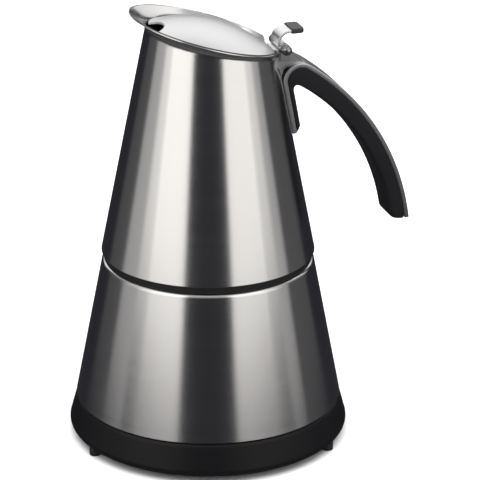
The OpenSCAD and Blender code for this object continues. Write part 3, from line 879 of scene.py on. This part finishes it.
@dataclass
class Assembly:
    """What every sub-assembly can do: hand its pieces to bodies, in place of CAD nodes.

    Attributes:
        finishes: Material of each of the record's slots.
    """

    frame: dict
    finishes: dict[str, bpy.types.Material]

    def piece(self, name: str, bm: Mesh, slot: str, body: str, *nodes: str) -> bpy.types.Object:
        """Turns a mesh into a finished piece that rides on a body.

        Args:
            name: Name of the piece.
            bm: Its mesh, which is used up.
            slot: The record's material slot.
            body: The body that it rides on.
            nodes: CAD nodes that it stands for.

        Returns:
            The new object, at the origin.
        """
        mesh = bpy.data.meshes.new(name)
        bm.to_mesh(mesh)
        bm.free()
        mesh.materials.append(self.finishes[slot])
        mesh.shade_smooth()
        mesh.set_sharp_from_angle(angle=math.radians(SHARP_ANGLE))
        piece = bpy.data.objects.new(name, mesh)
        flat = piece.modifiers.new("flat_faces", "WEIGHTED_NORMAL")
        flat.keep_sharp = True
        bpy.context.scene.collection.objects.link(piece)
        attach(piece, body)
        if nodes:
            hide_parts(*nodes)
        LOG.info("%s rides on %s with %d faces", name, body, len(mesh.polygons))
        return piece


@dataclass
class Dresser(Assembly):
    """Gives each CAD node the finish of its record slot."""

    def build(self) -> None:
        """Dresses every node."""
        slots = {part["node"]: part["material_slot"] for part in self.frame["record"]["subparts"]}
        for name, node in self.frame["nodes"].items():
            node.data.materials.clear()
            node.data.materials.append(self.finishes[slots[name]])


@dataclass
class Base(Assembly):
    """The black housing under the boiler, with its feet."""

    corner_r: float = 0.0034
    crown_r: float = 0.003
    step: float = 0.0005
    seat_w: float = 0.005
    tuck: float = 0.0022
    ledge: float = 0.0074
    wall: float = 0.0025
    rib: float = 0.001
    groove: float = 0.0006
    corner_from: float = -80.0
    corner_to: float = 12.0
    corner_steps: int = 12
    crown_from: float = 15.0
    crown_to: float = 80.0
    crown_steps: int = 10
    foot_r: float = 0.0027
    foot_edge: float = 0.0006

    def housing(self) -> None:
        """Turns the housing, with a soft lower corner and a shadow groove at the steel."""
        low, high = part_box("base_ring")
        steel_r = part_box("boiler_shell")[1][0]
        corner = Vector((high[0] - self.corner_r, low[2] + self.corner_r))
        crown = Vector((steel_r + self.step - self.crown_r, high[2] - self.crown_r))
        flange = high[0] - self.tuck - self.ledge
        inner = high[0] - self.tuck - self.wall - self.rib
        seat = steel_r - self.seat_w
        profile = [
            Vector((flange, low[2])),
            *arc(corner, self.corner_r, self.corner_from, self.corner_to, self.corner_steps),
            *arc(crown, self.crown_r, self.crown_from, self.crown_to, self.crown_steps),
            Vector((crown[0], high[2] - self.groove)),
            Vector((seat, high[2] - self.groove)),
            Vector((seat, high[2] - self.wall)),
            Vector((inner, high[2] - self.wall)),
            Vector((inner, low[2] + self.wall)),
            Vector((flange, low[2] + self.wall)),
        ]
        self.piece("housing", turned(profile), "base_plastic", "boiler", "base_ring")

    def feet(self) -> None:
        """Makes the three feet, each with a worn lower edge."""
        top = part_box("feet")[1][2]
        mounts = self.frame["record"]["mounts"]
        places = [mount["pos_m"] for mount in mounts if mount["name"].startswith("foot_")]
        rods = [rod(self.foot_r, top, Vector((x, y, top / 2)), UP) for x, y, _ in places]
        feet = [rounded(foot, self.foot_edge) for foot in rods]
        self.piece("rubber_feet", joined(*feet), "foot_rubber", "boiler", "feet")

    def build(self) -> None:
        """Builds every piece."""
        self.housing()
        self.feet()


@dataclass
class Boiler(Assembly):
    """The conical steel tank and the black collar on its shoulder."""

    top_r: float = 0.0526
    wall: float = 0.001
    shoulder_r: float = 0.0024
    shoulder_steps: int = 10
    inner_steps: int = 6
    edge: float = 0.0003
    neck_r: float = 0.032
    collar_edge: float = 0.0005
    collar_w: float = 0.006
    foot_z: float = field(init=False)
    foot_r: float = field(init=False)
    top_z: float = field(init=False)
    slope: float = field(init=False)

    def __post_init__(self) -> None:
        """Reads the cone's foot and top from the frame."""
        low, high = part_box("boiler_shell")
        self.foot_z, self.foot_r, self.top_z = low[2], high[0], high[2]
        self.slope = (self.foot_r - self.top_r) / (self.top_z - self.foot_z)

    def tank(self) -> None:
        """Turns the wall, its rounded shoulder and the flat ring up to the neck."""
        lean = math.degrees(math.atan(self.slope))
        middle_z = self.top_z - self.shoulder_r
        wall_r = self.foot_r - (middle_z - self.foot_z) * self.slope
        middle = Vector((wall_r - self.shoulder_r / math.cos(math.radians(lean)), middle_z))
        profile = [
            Vector((self.foot_r - self.edge, self.foot_z)),
            Vector((self.foot_r - self.edge * self.slope, self.foot_z + self.edge)),
            *arc(middle, self.shoulder_r, lean, 90, self.shoulder_steps),
            Vector((self.neck_r, self.top_z)),
            Vector((self.neck_r, self.top_z - self.wall)),
            *arc(middle, self.shoulder_r - self.wall, 90, lean, self.inner_steps),
            Vector((self.foot_r - self.wall, self.foot_z)),
        ]
        self.piece("tank", turned(profile), "boiler_steel", "boiler", "boiler_shell")

    def collar(self) -> None:
        """Turns the collar, with a soft outer edge."""
        low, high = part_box("collar_ring")
        middle = Vector((high[0] - self.collar_w / 2, (low[2] + high[2]) / 2))
        section = oblong(self.collar_w, high[2] - low[2], self.collar_edge)
        ring = turned([middle + point for point in section])
        self.piece("soft_collar", ring, "collar_plastic", "collar", "collar_ring")

    def build(self) -> None:
        """Builds every piece."""
        self.tank()
        self.collar()


@dataclass
class Valve(Assembly):
    """The safety valve's spring, wound round its pin."""

    boiler: Boiler
    height: float = 0.044
    start: float = -0.0057
    end: float = 0.0035
    ring_r: float = 0.002
    wire_r: float = 0.00028
    turns: int = 6
    turn_steps: int = 24
    wire_sides: int = 10
    closed: float = 0.87

    def build(self) -> None:
        """Winds the spring round the pin."""
        boiler = self.boiler
        way = Vector((0, 1, boiler.slope)).normalized()
        side = ALONG.cross(way)
        seat = Vector((0, boiler.foot_r - self.height * boiler.slope, boiler.foot_z + self.height))
        steps = self.turns * self.turn_steps

        def place(point: int, step: int) -> Vector:
            """Gives a point of the wire's skin.

            Args:
                point: Number of the point round the wire.
                step: Number of the step along the wire.

            Returns:
                Its place.
            """
            section = FULL_TURN * point / self.wire_sides
            turn = FULL_TURN * step / self.turn_steps
            out = self.ring_r + self.wire_r * math.cos(section)
            along = self.start + (self.end - self.start) * step / steps + self.wire_r * math.sin(section)
            return seat + way * along + (ALONG * math.cos(turn) + side * math.sin(turn)) * out

        bm = swept(self.wire_sides, steps, place)
        spring = self.piece("valve_coil", bm, "screw_steel", "boiler", "valve_spring")
        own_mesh(spring)


@dataclass
class Jug(Assembly):
    """The conical steel jug, whose slanted rim flares into a spout.

    Attributes:
        OUTSIDE: Radius that marks the outer face on the plain loop that is bent into the jug.
        INSIDE: Radius that marks its inner face.
    """

    OUTSIDE: ClassVar[float] = 2.0
    INSIDE: ClassVar[float] = 1.0
    height: float = 0.1083
    neck_r: float = 0.0319
    wall: float = 0.0009
    tilt: float = 15.0
    lip_h: float = 0.0042
    edge_r: float = 0.0365
    edge_shift: float = 0.002
    edge_tilt: float = 15.5
    lip_deep: float = 0.0028
    lip_start: float = 0.27
    hinge_gap: float = 17.0
    fade: float = 8.0
    gap_rise: float = 0.0003
    bend_share: float = 0.25
    wall_rows: int = 6
    lip_rows: int = 14
    edge_drop: float = 0.00002
    rim_edge: float = 0.00035
    foot_edge: float = 0.0003
    foot_z: float = field(init=False)
    foot_r: float = field(init=False)
    slope: float = field(init=False)
    lean: float = field(init=False)

    def __post_init__(self) -> None:
        """Reads the foot of the cone from the frame."""
        low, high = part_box("jug_shell")
        self.foot_z, self.foot_r = low[2], high[0]
        self.slope = (self.foot_r - self.neck_r) / self.height
        self.lean = math.degrees(math.atan(self.slope))

    def radius(self, z: float) -> float:
        """Outer radius of the cone at a height."""
        return self.foot_r - (z - self.foot_z) * self.slope

    def wall_point(self, angle: float, share: float, depth: float) -> Vector:
        """A point of the wall.

        Args:
            angle: Direction round the pot, in degrees.
            share: 0 at the foot and 1 at the slanted neck.
            depth: How deep under the outer face.

        Returns:
            Its radius and height.
        """
        pull = math.tan(math.radians(self.tilt)) * share * math.cos(math.radians(angle))
        middle = self.foot_z + self.height * share
        z = (middle - pull * (self.foot_r + self.slope * self.foot_z)) / (1 - pull * self.slope)
        late = max(0.0, self.lip_start - math.cos(math.radians(angle)))
        z -= share * self.lip_deep * late / (self.lip_start + 1)
        return Vector((self.radius(z), z)) - depth * polar(1, self.lean)

    def openness(self, angle: float) -> float:
        """How far the lip is present: 0 at the hinge and 1 elsewhere."""
        off = abs((angle + 180) % 360 - 180)
        return smooth_step((off - self.hinge_gap) / self.fade + 0.5)

    def edge_point(self, angle: float) -> Vector:
        """The lip's round, slanted edge, which sinks to the neck in the rim's gap.

        Args:
            angle: Direction round the pot, in degrees.

        Returns:
            Its radius and height.
        """
        s, c = math.sin(math.radians(angle)), math.cos(math.radians(angle))
        radius = math.sqrt(self.edge_r**2 - (self.edge_shift * s) ** 2) - self.edge_shift * c
        middle = self.foot_z + self.height + self.lip_h
        edge = Vector((radius, middle - math.tan(math.radians(self.edge_tilt)) * radius * c))
        low = self.wall_point(angle, 1, 0) + self.gap_rise * Vector((-self.slope, 1))
        return low.lerp(edge, self.openness(angle))

    def lip_point(self, angle: float, share: float, depth: float) -> Vector:
        """A point of the lip, which bends out of the wall and then runs straight to its edge.

        Args:
            angle: Direction round the pot, in degrees.
            share: How far along the section; the bend ends at a half.
            depth: How deep under the outer face.

        Returns:
            Its radius and height.
        """
        start = self.wall_point(angle, 1, 0)
        end = self.edge_point(angle) - Vector((0, self.edge_drop))
        reach = self.bend_share * (end - start).length
        corner = start + reach * polar(1, 90 + self.lean)
        straight = corner + reach * (end - corner).normalized()
        part = 2 * share
        if share < 0.5:
            one, two = start.lerp(corner, part), corner.lerp(straight, part)
            point, way = one.lerp(two, part), (two - one).normalized()
        else:
            point, way = straight.lerp(end, part - 1), (end - corner).normalized()
        return point + depth * Vector((-way[1], way[0]))

    def shell(self) -> None:
        """Turns a plain loop whose height counts rows, and then moves each row to its place."""
        rows = self.wall_rows + self.lip_rows
        outer = [Vector((self.OUTSIDE, row)) for row in range(rows + 1)]
        inner = [Vector((self.INSIDE, row)) for row in range(rows, -1, -1)]
        bm = turned(outer + inner)
        ends = [e for e in bm.edges if self.is_end(e, 0, self.OUTSIDE)]
        rims = [e for e in bm.edges for side in (self.INSIDE, self.OUTSIDE) if self.is_end(e, rows, side)]
        for vert in bm.verts:
            angle = math.degrees(math.atan2(vert.co.y, vert.co.x))
            depth = 0.0 if vert.co.xy.length > (self.INSIDE + self.OUTSIDE) / 2 else self.wall
            row = round(vert.co.z)
            if row <= self.wall_rows:
                point = self.wall_point(angle, row / self.wall_rows, depth)
                point[1] = self.foot_z if row == 0 else point[1]
            else:
                point = self.lip_point(angle, (row - self.wall_rows) / self.lip_rows, depth)
            vert.co = (*(point[0] * polar(1, angle)), point[1])
        bevel(bm, rims, self.rim_edge, 3)
        bevel(bm, ends, self.foot_edge, 2)
        bmesh.ops.recalc_face_normals(bm, faces=bm.faces)
        self.piece("jug_body", bm, "jug_steel", "jug", "jug_shell")

    @staticmethod
    def is_end(edge: Edge, row: int, side: float) -> bool:
        """Whether an edge of the plain loop runs round it at a row, on the side with that mark."""
        return all(round(v.co.z) == row and round(v.co.xy.length) == side for v in edge.verts)

    def build(self) -> None:
        """Builds every piece."""
        self.shell()


@dataclass
class Handle(Assembly):
    """The steel band bowed from the hinge, with the black grip along its inside."""

    jug: Jug
    bow_r: float = 0.122
    bow_c: Vector = field(default_factory=lambda: Vector((-0.0177, 0.0882)))
    bend_r: float = 0.009
    band_t: float = 0.0022
    leg_z: float = 0.155
    weld_inset: float = 0.0006
    band_edge: float = 0.0004
    swell: float = 0.0057
    thick: float = 0.01
    thin_angle: float = 15.0
    end_angle: float = 7.6
    end_r: float = 0.0042
    end_depth: float = 0.85
    end_narrow: float = 0.12
    end_lift: float = 0.15
    leg_t: float = 0.0027
    leg_inset: float = 0.0034
    finger_r: float = 0.002
    palm_edge: float = 0.0024
    side_edge: float = 0.0005
    bend_steps: int = 24
    bow_steps: int = 60
    band_rows: int = 120
    grip_rows: int = 110
    end_rows: int = 9
    fine_rows: int = 1200
    corner_steps: int = 7
    palm_c: Vector = field(init=False)
    palm_r: float = field(init=False)
    bend_c: Vector = field(init=False)
    bow_from: float = field(init=False)
    leg_up: Vector = field(init=False)
    leg_out: Vector = field(init=False)
    leg_foot: Vector = field(init=False)

    def __post_init__(self) -> None:
        """Works out the circles that the handle's outlines follow."""
        self.leg_up = polar(1, 90 + self.jug.lean)
        self.leg_out = polar(1, self.jug.lean)
        self.leg_foot = Vector((self.jug.radius(self.leg_z) - self.weld_inset, self.leg_z))
        self.bend_c = self.nest(self.leg_foot, self.bow_c, self.bow_r, self.bend_r)
        self.bow_from = self.heading(self.bend_c - self.bow_c)
        self.palm_r = self.bow_r - self.thick - self.swell
        self.palm_c = self.bow_c + polar(self.swell, self.thin_angle)

    @staticmethod
    def heading(way: Vector) -> float:
        """Direction of a 2-D vector, in degrees."""
        return math.degrees(math.atan2(way[1], way[0]))

    def nest(self, start: Vector, centre: Vector, big: float, small: float) -> Vector:
        """Centre of a small circle that touches the leg's line and, from inside, a big bow.

        Args:
            start: A point on the line.
            centre: Centre of the bow.
            big: Radius of the bow.
            small: Radius of the small circle.

        Returns:
            The small circle's centre.
        """
        gap = start + small * self.leg_out - centre
        along = gap.dot(self.leg_up)
        rest = gap.dot(gap) - (big - small) ** 2
        return start + small * self.leg_out + (math.sqrt(along * along - rest) - along) * self.leg_up

    def steel_line(self, depth: float) -> list[Vector]:
        """Leg, bend and bow of the band.

        Args:
            depth: How deep under the band's outer face.

        Returns:
            The points, from the leg's foot to the handle's lower end.
        """
        return [
            self.leg_foot + depth * self.leg_out,
            *arc(self.bend_c, self.bend_r - depth, 180 + self.jug.lean, self.bow_from, self.bend_steps),
            *arc(self.bow_c, self.bow_r - depth, self.bow_from, self.end_angle, self.bow_steps),
        ]

    def palm_line(self) -> list[Vector]:
        """The grip's inner outline.

        Returns:
            The points, from the leg over the finger gap to the lower end.
        """
        leg = self.leg_foot + (self.band_t + self.leg_t) * self.leg_out + self.leg_inset * self.leg_up
        finger_c = self.nest(leg, self.palm_c, self.palm_r, self.finger_r)
        turn = self.heading(finger_c - self.palm_c)
        return [
            leg,
            *arc(finger_c, self.finger_r, 180 + self.jug.lean, turn, self.bend_steps),
            *arc(self.palm_c, self.palm_r, turn, self.end_angle, self.bow_steps),
        ]

    def band(self) -> None:
        """Sweeps the steel band's soft-edged section along the bow, under its outer face."""
        low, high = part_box("handle_band")
        outline = oblong(high[1] - low[1], self.band_t, self.band_edge)
        section = [point - Vector((0, self.band_t / 2)) for point in outline]
        strip = ribbon(evenly(self.steel_line(0), self.band_rows), section)
        bm = rounded(strip, self.band_edge, angle=RIM_ANGLE)
        self.piece("steel_band", bm, "band_steel", "jug", "handle_band")

    def grip(self) -> None:
        """Sweeps the grip: flat on the band, soft on the palm's side, and rounded at its lower end."""
        fine, corner, ends = self.fine_rows, self.corner_steps, self.end_rows
        outer = evenly(self.steel_line(self.band_t), fine)
        inner = evenly(self.palm_line(), fine)
        pace = (inner[-1] - inner[-2]).length
        tail = math.ceil(self.end_r / pace)
        rows = [round((fine - tail) * i / self.grip_rows) for i in range(self.grip_rows + 1)]
        turns = [math.radians(90 * i / ends) for i in range(1, ends + 1)]
        rows += [fine - tail + round(tail * math.sin(turn)) for turn in turns]
        low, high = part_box("handle_grip")
        width = high[1] - low[1]

        def place(side: int, step: int) -> Vector:
            """Gives a point of the grip: its palm side first, then its two corners on the band.

            Args:
                side: Number of the section's point.
                step: Number of the row along the bow.

            Returns:
                Its place.
            """
            row = rows[step]
            late = min(max(0.0, self.end_r - (fine - row) * pace), self.end_r)
            inset = self.end_r - math.sqrt(self.end_r**2 - late**2)
            deep = (inner[row] - outer[row]).length
            palm = deep - self.end_depth * inset
            half = width / 2 - self.end_narrow * inset
            soft = min(self.palm_edge, palm / 2)
            near = side <= corner
            if side <= 2 * corner + 1:
                edge = polar(1, 90 * (side if near else 2 * corner + 1 - side) / corner)
                across = (half - soft + soft * edge[0]) * (1 if near else -1)
                depth = palm - soft + soft * edge[1]
            else:
                across = -half if side == 2 * corner + 2 else half
                depth = self.end_lift * inset
            point = outer[row] + (inner[row] - outer[row]) * (depth / deep)
            return Vector((point[0], across, point[1]))

        bm = rounded(swept(2 * corner + 4, len(rows) - 1, place), self.side_edge, 2, RIM_ANGLE)
        self.piece("soft_grip", bm, "grip_plastic", "jug", "handle_grip")

    def build(self) -> None:
        """Builds every piece."""
        self.band()
        self.grip()


@dataclass
class Hinge(Assembly):
    """The saddle that carries the pin, the ears and the balls on the pin's ends."""

    jug: Jug
    handle: Handle
    wedge_tip: Vector = field(default_factory=lambda: Vector((-0.002, -0.0016)))
    ear_r: float = 0.0027
    ear_in: float = 0.0063
    ear_t: float = 0.0018
    ear_edge: float = 0.0004
    neck_r: float = 0.0016
    ear_depth: float = 0.006
    pinch: float = 0.0034
    flange: float = 0.16
    flange_fade: float = 0.3
    rim_fade: float = 0.25
    pinch_room: float = 0.006
    crown_start: float = 0.3
    crown_fade: float = 0.4
    inset: float = 0.001
    saddle_rows: int = 28
    saddle_columns: int = 14
    round_steps: int = 24
    bow_steps: int = 8
    ball_steps: int = 20
    ball_facets: int = 48
    pin: Vector = field(init=False)

    def __post_init__(self) -> None:
        """Finds the pin's middle."""
        low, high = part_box("hinge_pin")
        self.pin = Vector(((low[0] + high[0]) / 2, (low[2] + high[2]) / 2))

    def saddle(self) -> None:
        """Makes the saddle: a flange along the jug, hollow cheeks, and the bend's wide rim."""
        handle, rows, columns = self.handle, self.saddle_rows, self.saddle_columns
        top_angle = math.degrees(math.acos((self.pin[0] + self.ear_r - handle.bow_c[0]) / handle.bow_r))
        bend = arc(handle.bend_c, handle.bend_r, 180 + self.jug.lean, handle.bow_from, self.round_steps)
        bow = arc(handle.bow_c, handle.bow_r, handle.bow_from, top_angle, self.bow_steps)
        outside = evenly([*bend, *bow], rows)
        neck = self.jug.wall_point(0, 1, 0) + self.wedge_tip
        inside = evenly([bend[0], neck], rows)
        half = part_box("hinge_bracket")[1][1] - self.inset

        def place(side: int, step: int) -> Vector:
            """Gives a point of the saddle: one cheek outwards, then the other one back.

            Args:
                side: Number of the point across the cheeks.
                step: Number of the row up the saddle.

            Returns:
                Its place.
            """
            across = side if side <= columns else 2 * columns + 1 - side
            share = across / columns
            point = inside[step].lerp(outside[step], share)
            room = (outside[step] - inside[step]).length
            hollow = smooth_step((share - self.flange) / self.flange_fade)
            hollow *= smooth_step((1 - share) / self.rim_fade)
            crown = 1 - smooth_step((step / rows - self.crown_start) / self.crown_fade)
            y = half - self.pinch * hollow * crown * min(1.0, room / self.pinch_room)
            return Vector((point[0], y if side <= columns else -y, point[1]))

        bm = swept(2 * columns + 2, rows, place)
        self.piece("saddle", bm, "band_steel", "jug", "hinge_bracket")

    def ears(self) -> None:
        """Makes the two ears that hold the pin."""
        down = Vector((0, -self.ear_depth))
        crown = arc(self.pin, self.ear_r, 0, 180, self.round_steps)
        outline = [*crown, crown[-1] + down, crown[0] + down]
        ears = []
        for side in (-1, 1):
            near, far = sorted((side * self.ear_in, side * (self.ear_in + self.ear_t)))
            ears.append(rounded(slab(outline, near, far), self.ear_edge, 2, RIM_ANGLE))
        self.piece("ears", joined(*ears), "band_steel", "jug")

    def balls(self) -> None:
        """Turns the polished ball and its short neck on each end of the pin."""
        low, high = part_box("pin_balls")
        radius = (high[2] - low[2]) / 2
        reach = high[1] - radius
        neck = Vector((self.neck_r, self.ear_in + self.ear_t - reach))
        start = -math.degrees(math.acos(self.neck_r / radius))
        profile = [Vector((0, neck[1])), neck, *arc(Vector((0, 0)), radius, start, 90, self.ball_steps)]
        knobs = []
        for side in (-1, 1):
            bm = turned(profile, self.ball_facets, closed=False)
            turn = UP.rotation_difference(side * ACROSS).to_matrix()
            bmesh.ops.rotate(bm, cent=(0, 0, 0), matrix=turn, verts=bm.verts)
            bmesh.ops.translate(bm, verts=bm.verts, vec=(self.pin[0], side * reach, self.pin[1]))
            knobs.append(bm)
        self.piece("end_balls", joined(*knobs), "pin_steel", "jug", "pin_balls")

    def build(self) -> None:
        """Builds every piece."""
        self.saddle()
        self.ears()
        self.balls()


@dataclass
class Lid(Assembly):
    """The domed lid, its thumb lever and the barrel that turns on the pin."""

    jug: Jug
    hinge: Hinge
    long_share: float = 1.035
    rise: float = 0.008
    thick: float = 0.0009
    edge_h: float = 0.0008
    middle_x: float = 0.0019
    lift: float = 0.0012
    notch_r: float = 0.009
    notch_depth: float = 0.006
    cutter_h: float = 0.032
    barrel_half: float = 0.006
    barrel_edge: float = 0.0003
    tongue_low: float = 0.001
    tongue_high: float = 0.0022
    tongue_end: float = 0.001
    tongue_sink: float = 0.0003
    lever_t: float = 0.0012
    lever_bend_r: float = 0.0064
    lever_edge: float = 0.0003
    foot_drop: float = 0.0004
    tip_edge: float = 0.0007
    tip_round: float = 0.0022
    tip_angle: float = 50.0
    tip_corner_steps: int = 6
    tip_edge_steps: int = 4
    dome_steps: int = 40
    hem_steps: int = 8
    notch_facets: int = 96
    barrel_facets: int = 64
    lever_bend_steps: int = 20
    lever_rows: int = 40

    def dome(self) -> None:
        """Turns the dome, makes it oval, cuts the pouring notch and slants it to the rim."""
        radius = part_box("lid_shell")[1][1]
        ball_r = (radius * radius + self.rise * self.rise) / (2 * self.rise)
        middle = Vector((0, self.rise - ball_r))
        edge = math.degrees(math.acos(radius / ball_r))
        inner_r = radius - self.thick
        inner_edge = math.degrees(math.acos(inner_r / (ball_r - self.thick)))
        hem = Vector((radius - self.thick / 2, -self.edge_h + self.thick / 2))
        profile = [
            *arc(middle, ball_r, 90, edge, self.dome_steps),
            *arc(hem, self.thick / 2, 0, -180, self.hem_steps),
            *arc(middle, ball_r - self.thick, inner_edge, 90, self.dome_steps),
        ]
        bm = turned(profile)
        bmesh.ops.scale(bm, vec=(self.long_share, 1, 1), verts=bm.verts)
        notch_x = -radius * self.long_share - self.notch_r + self.notch_depth
        cutter = rod(self.notch_r, self.cutter_h, Vector((notch_x, 0, 0)), UP, self.notch_facets)
        bm = cut(bm, cutter)
        tilt = Matrix.Rotation(math.radians(self.jug.tilt), 3, "Y")
        bmesh.ops.rotate(bm, cent=(0, 0, 0), matrix=tilt, verts=bm.verts)
        drop = self.middle_x * math.tan(math.radians(self.jug.tilt))
        centre_z = self.jug.foot_z + self.jug.height + self.lift - drop
        bmesh.ops.translate(bm, verts=bm.verts, vec=(self.middle_x, 0, centre_z))
        self.piece("lid_dome", bm, "lid_steel", "lid", "lid_shell")

    def barrel(self) -> None:
        """Makes the barrel round the pin and the tongue that joins it to the lid."""
        low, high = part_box("lid_tongue")
        pin = self.hinge.pin
        radius = high[0] - pin[0]
        middle = Vector((pin[0], 0, pin[1]))
        knuckle = rod(radius, 2 * self.barrel_half, middle, ACROSS, self.barrel_facets)
        outline = [
            Vector((low[0], low[2] + self.tongue_high)),
            Vector((low[0], low[2] + self.tongue_low)),
            pin - Vector((self.tongue_end, radius - self.tongue_sink)),
            pin - Vector((self.tongue_end, 0)),
        ]
        tongue = slab(outline, -self.barrel_half, self.barrel_half)
        bm = joined(rounded(knuckle, self.barrel_edge), rounded(tongue, self.barrel_edge, 2, RIM_ANGLE))
        self.piece("barrel", bm, "lever_steel", "lid", "lid_tongue")

    def lever(self) -> None:
        """Sweeps the lever's strip up from the barrel and over its bend."""
        low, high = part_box("thumb_lever")
        middle = Vector((low[0] + self.lever_bend_r, high[2] - self.lever_bend_r))
        centre_r = self.lever_bend_r - self.lever_t / 2
        foot = Vector((middle[0] - centre_r, low[2] - self.foot_drop))
        end = Vector((high[0], middle[1] + centre_r))
        line = [foot, *arc(middle, centre_r, 180, 90, self.lever_bend_steps), end]
        section = oblong(high[1] - low[1], self.lever_t, self.lever_edge)
        strip = ribbon(evenly(line, self.lever_rows), section)
        self.piece("lever_strip", strip, "lever_steel", "lid", "thumb_lever")

    def tip(self) -> None:
        """Makes the lever's plastic tip: rounded corners at its end, and soft edges all over."""
        low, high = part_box("lever_tip")
        bm = bmesh.new()
        bmesh.ops.create_cube(bm, size=1)
        size = [b - a for a, b in zip(low, high)]
        centre = [(a + b) / 2 for a, b in zip(low, high)]
        bmesh.ops.scale(bm, vec=size, verts=bm.verts)
        bmesh.ops.translate(bm, vec=centre, verts=bm.verts)
        ends = [e for e in bm.edges if all(v.co.x > centre[0] for v in e.verts)]
        corners = [e for e in ends if abs(e.verts[0].co.z - e.verts[1].co.z) > size[2] / 2]
        bevel(bm, corners, self.tip_round, self.tip_corner_steps)
        bm = rounded(bm, self.tip_edge, self.tip_edge_steps, self.tip_angle)
        self.piece("soft_tip", bm, "tip_plastic", "lid", "lever_tip")

    def build(self) -> None:
        """Builds every piece."""
        self.dome()
        self.barrel()
        self.lever()
        self.tip()


def finishes() -> dict[str, bpy.types.Material]:
    """Makes the material of every record slot.

    Returns:
        The materials, by the names of their slots.
    """
    round_bow, cross, spun = Grain.ROUND_BOW, Grain.CROSS, Grain.SPUN
    kinds = (
        BrushedSteel("boiler_steel", Grain.ROUND_POT),
        BrushedSteel("jug_steel", Grain.ROUND_POT),
        BrushedSteel("lid_steel", cross, tint=(0.72, 0.72, 0.72), roughness=0.4, anisotropy=0),
        BrushedSteel("inner_steel", spun, roughness=0.3, anisotropy=0),
        BrushedSteel("band_steel", round_bow, tint=(0.55, 0.55, 0.56), roughness=0.3, anisotropy=0),
        BrushedSteel("lever_steel", cross, tint=(0.8, 0.8, 0.8), roughness=0.3, anisotropy=0),
        PlainMetal("pin_steel", (0.3, 0.3, 0.31), 0.26),
        PlainMetal("screw_steel", (0.55, 0.55, 0.55), 0.3),
        PlainMetal("spreader_aluminium", (0.7, 0.7, 0.72), 0.45),
        PlainMetal("element_sheath", (0.25, 0.25, 0.26), 0.5),
        PlainMetal("contact_brass", (0.8, 0.62, 0.3), 0.2),
        PlainMetal("valve_brass", (0.78, 0.6, 0.32), 0.25),
        Moulded("base_plastic", (0.005, 0.005, 0.006), 0.42, 0.04, specular=0.16),
        Moulded("plate_plastic", (0.02, 0.02, 0.02), 0.5, 0.2),
        Moulded("socket_plastic", (0.03, 0.03, 0.03), 0.45, 0.1),
        Moulded("collar_plastic", (0.008, 0.008, 0.008), 0.4, 0.05),
        Moulded("grip_plastic", (0.006, 0.006, 0.008), 0.42, 0.06, specular=0.28),
        Moulded("tip_plastic", (0.02, 0.021, 0.023), 0.45, 0.06, specular=0.4),
        Moulded("switch_plastic", (0.3, 0.22, 0.12), 0.5, 0.1),
        Moulded("fuse_plastic", (0.7, 0.7, 0.66), 0.5, 0.1),
        Moulded("foot_rubber", (0.012, 0.012, 0.012), 0.55, 0.2),
        Moulded("valve_rubber", (0.03, 0.03, 0.03), 0.6, 0.2),
        Moulded("gasket_silicone", (0.7, 0.68, 0.62), 0.45, 0.1),
        Moulded("wire_insulation", (0.3, 0.03, 0.02), 0.6, 0.4),
    )
    return {kind.name: kind.build() for kind in kinds}


def main() -> None:
    """Builds the studio and the pot, piece by piece."""
    logging.basicConfig(level=logging.INFO, format="%(name)s: %(message)s")
    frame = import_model()
    Studio().build()
    looks = finishes()
    dresser = Dresser(frame, looks)
    jug = Jug(frame, looks)
    handle = Handle(frame, looks, jug)
    hinge = Hinge(frame, looks, jug, handle)
    boiler = Boiler(frame, looks)
    base, valve, lid = Base(frame, looks), Valve(frame, looks, boiler), Lid(frame, looks, jug, hinge)
    for assembly in (dresser, base, boiler, valve, jug, handle, hinge, lid):
        assembly.build()


if __name__ == "__main__":
    main()
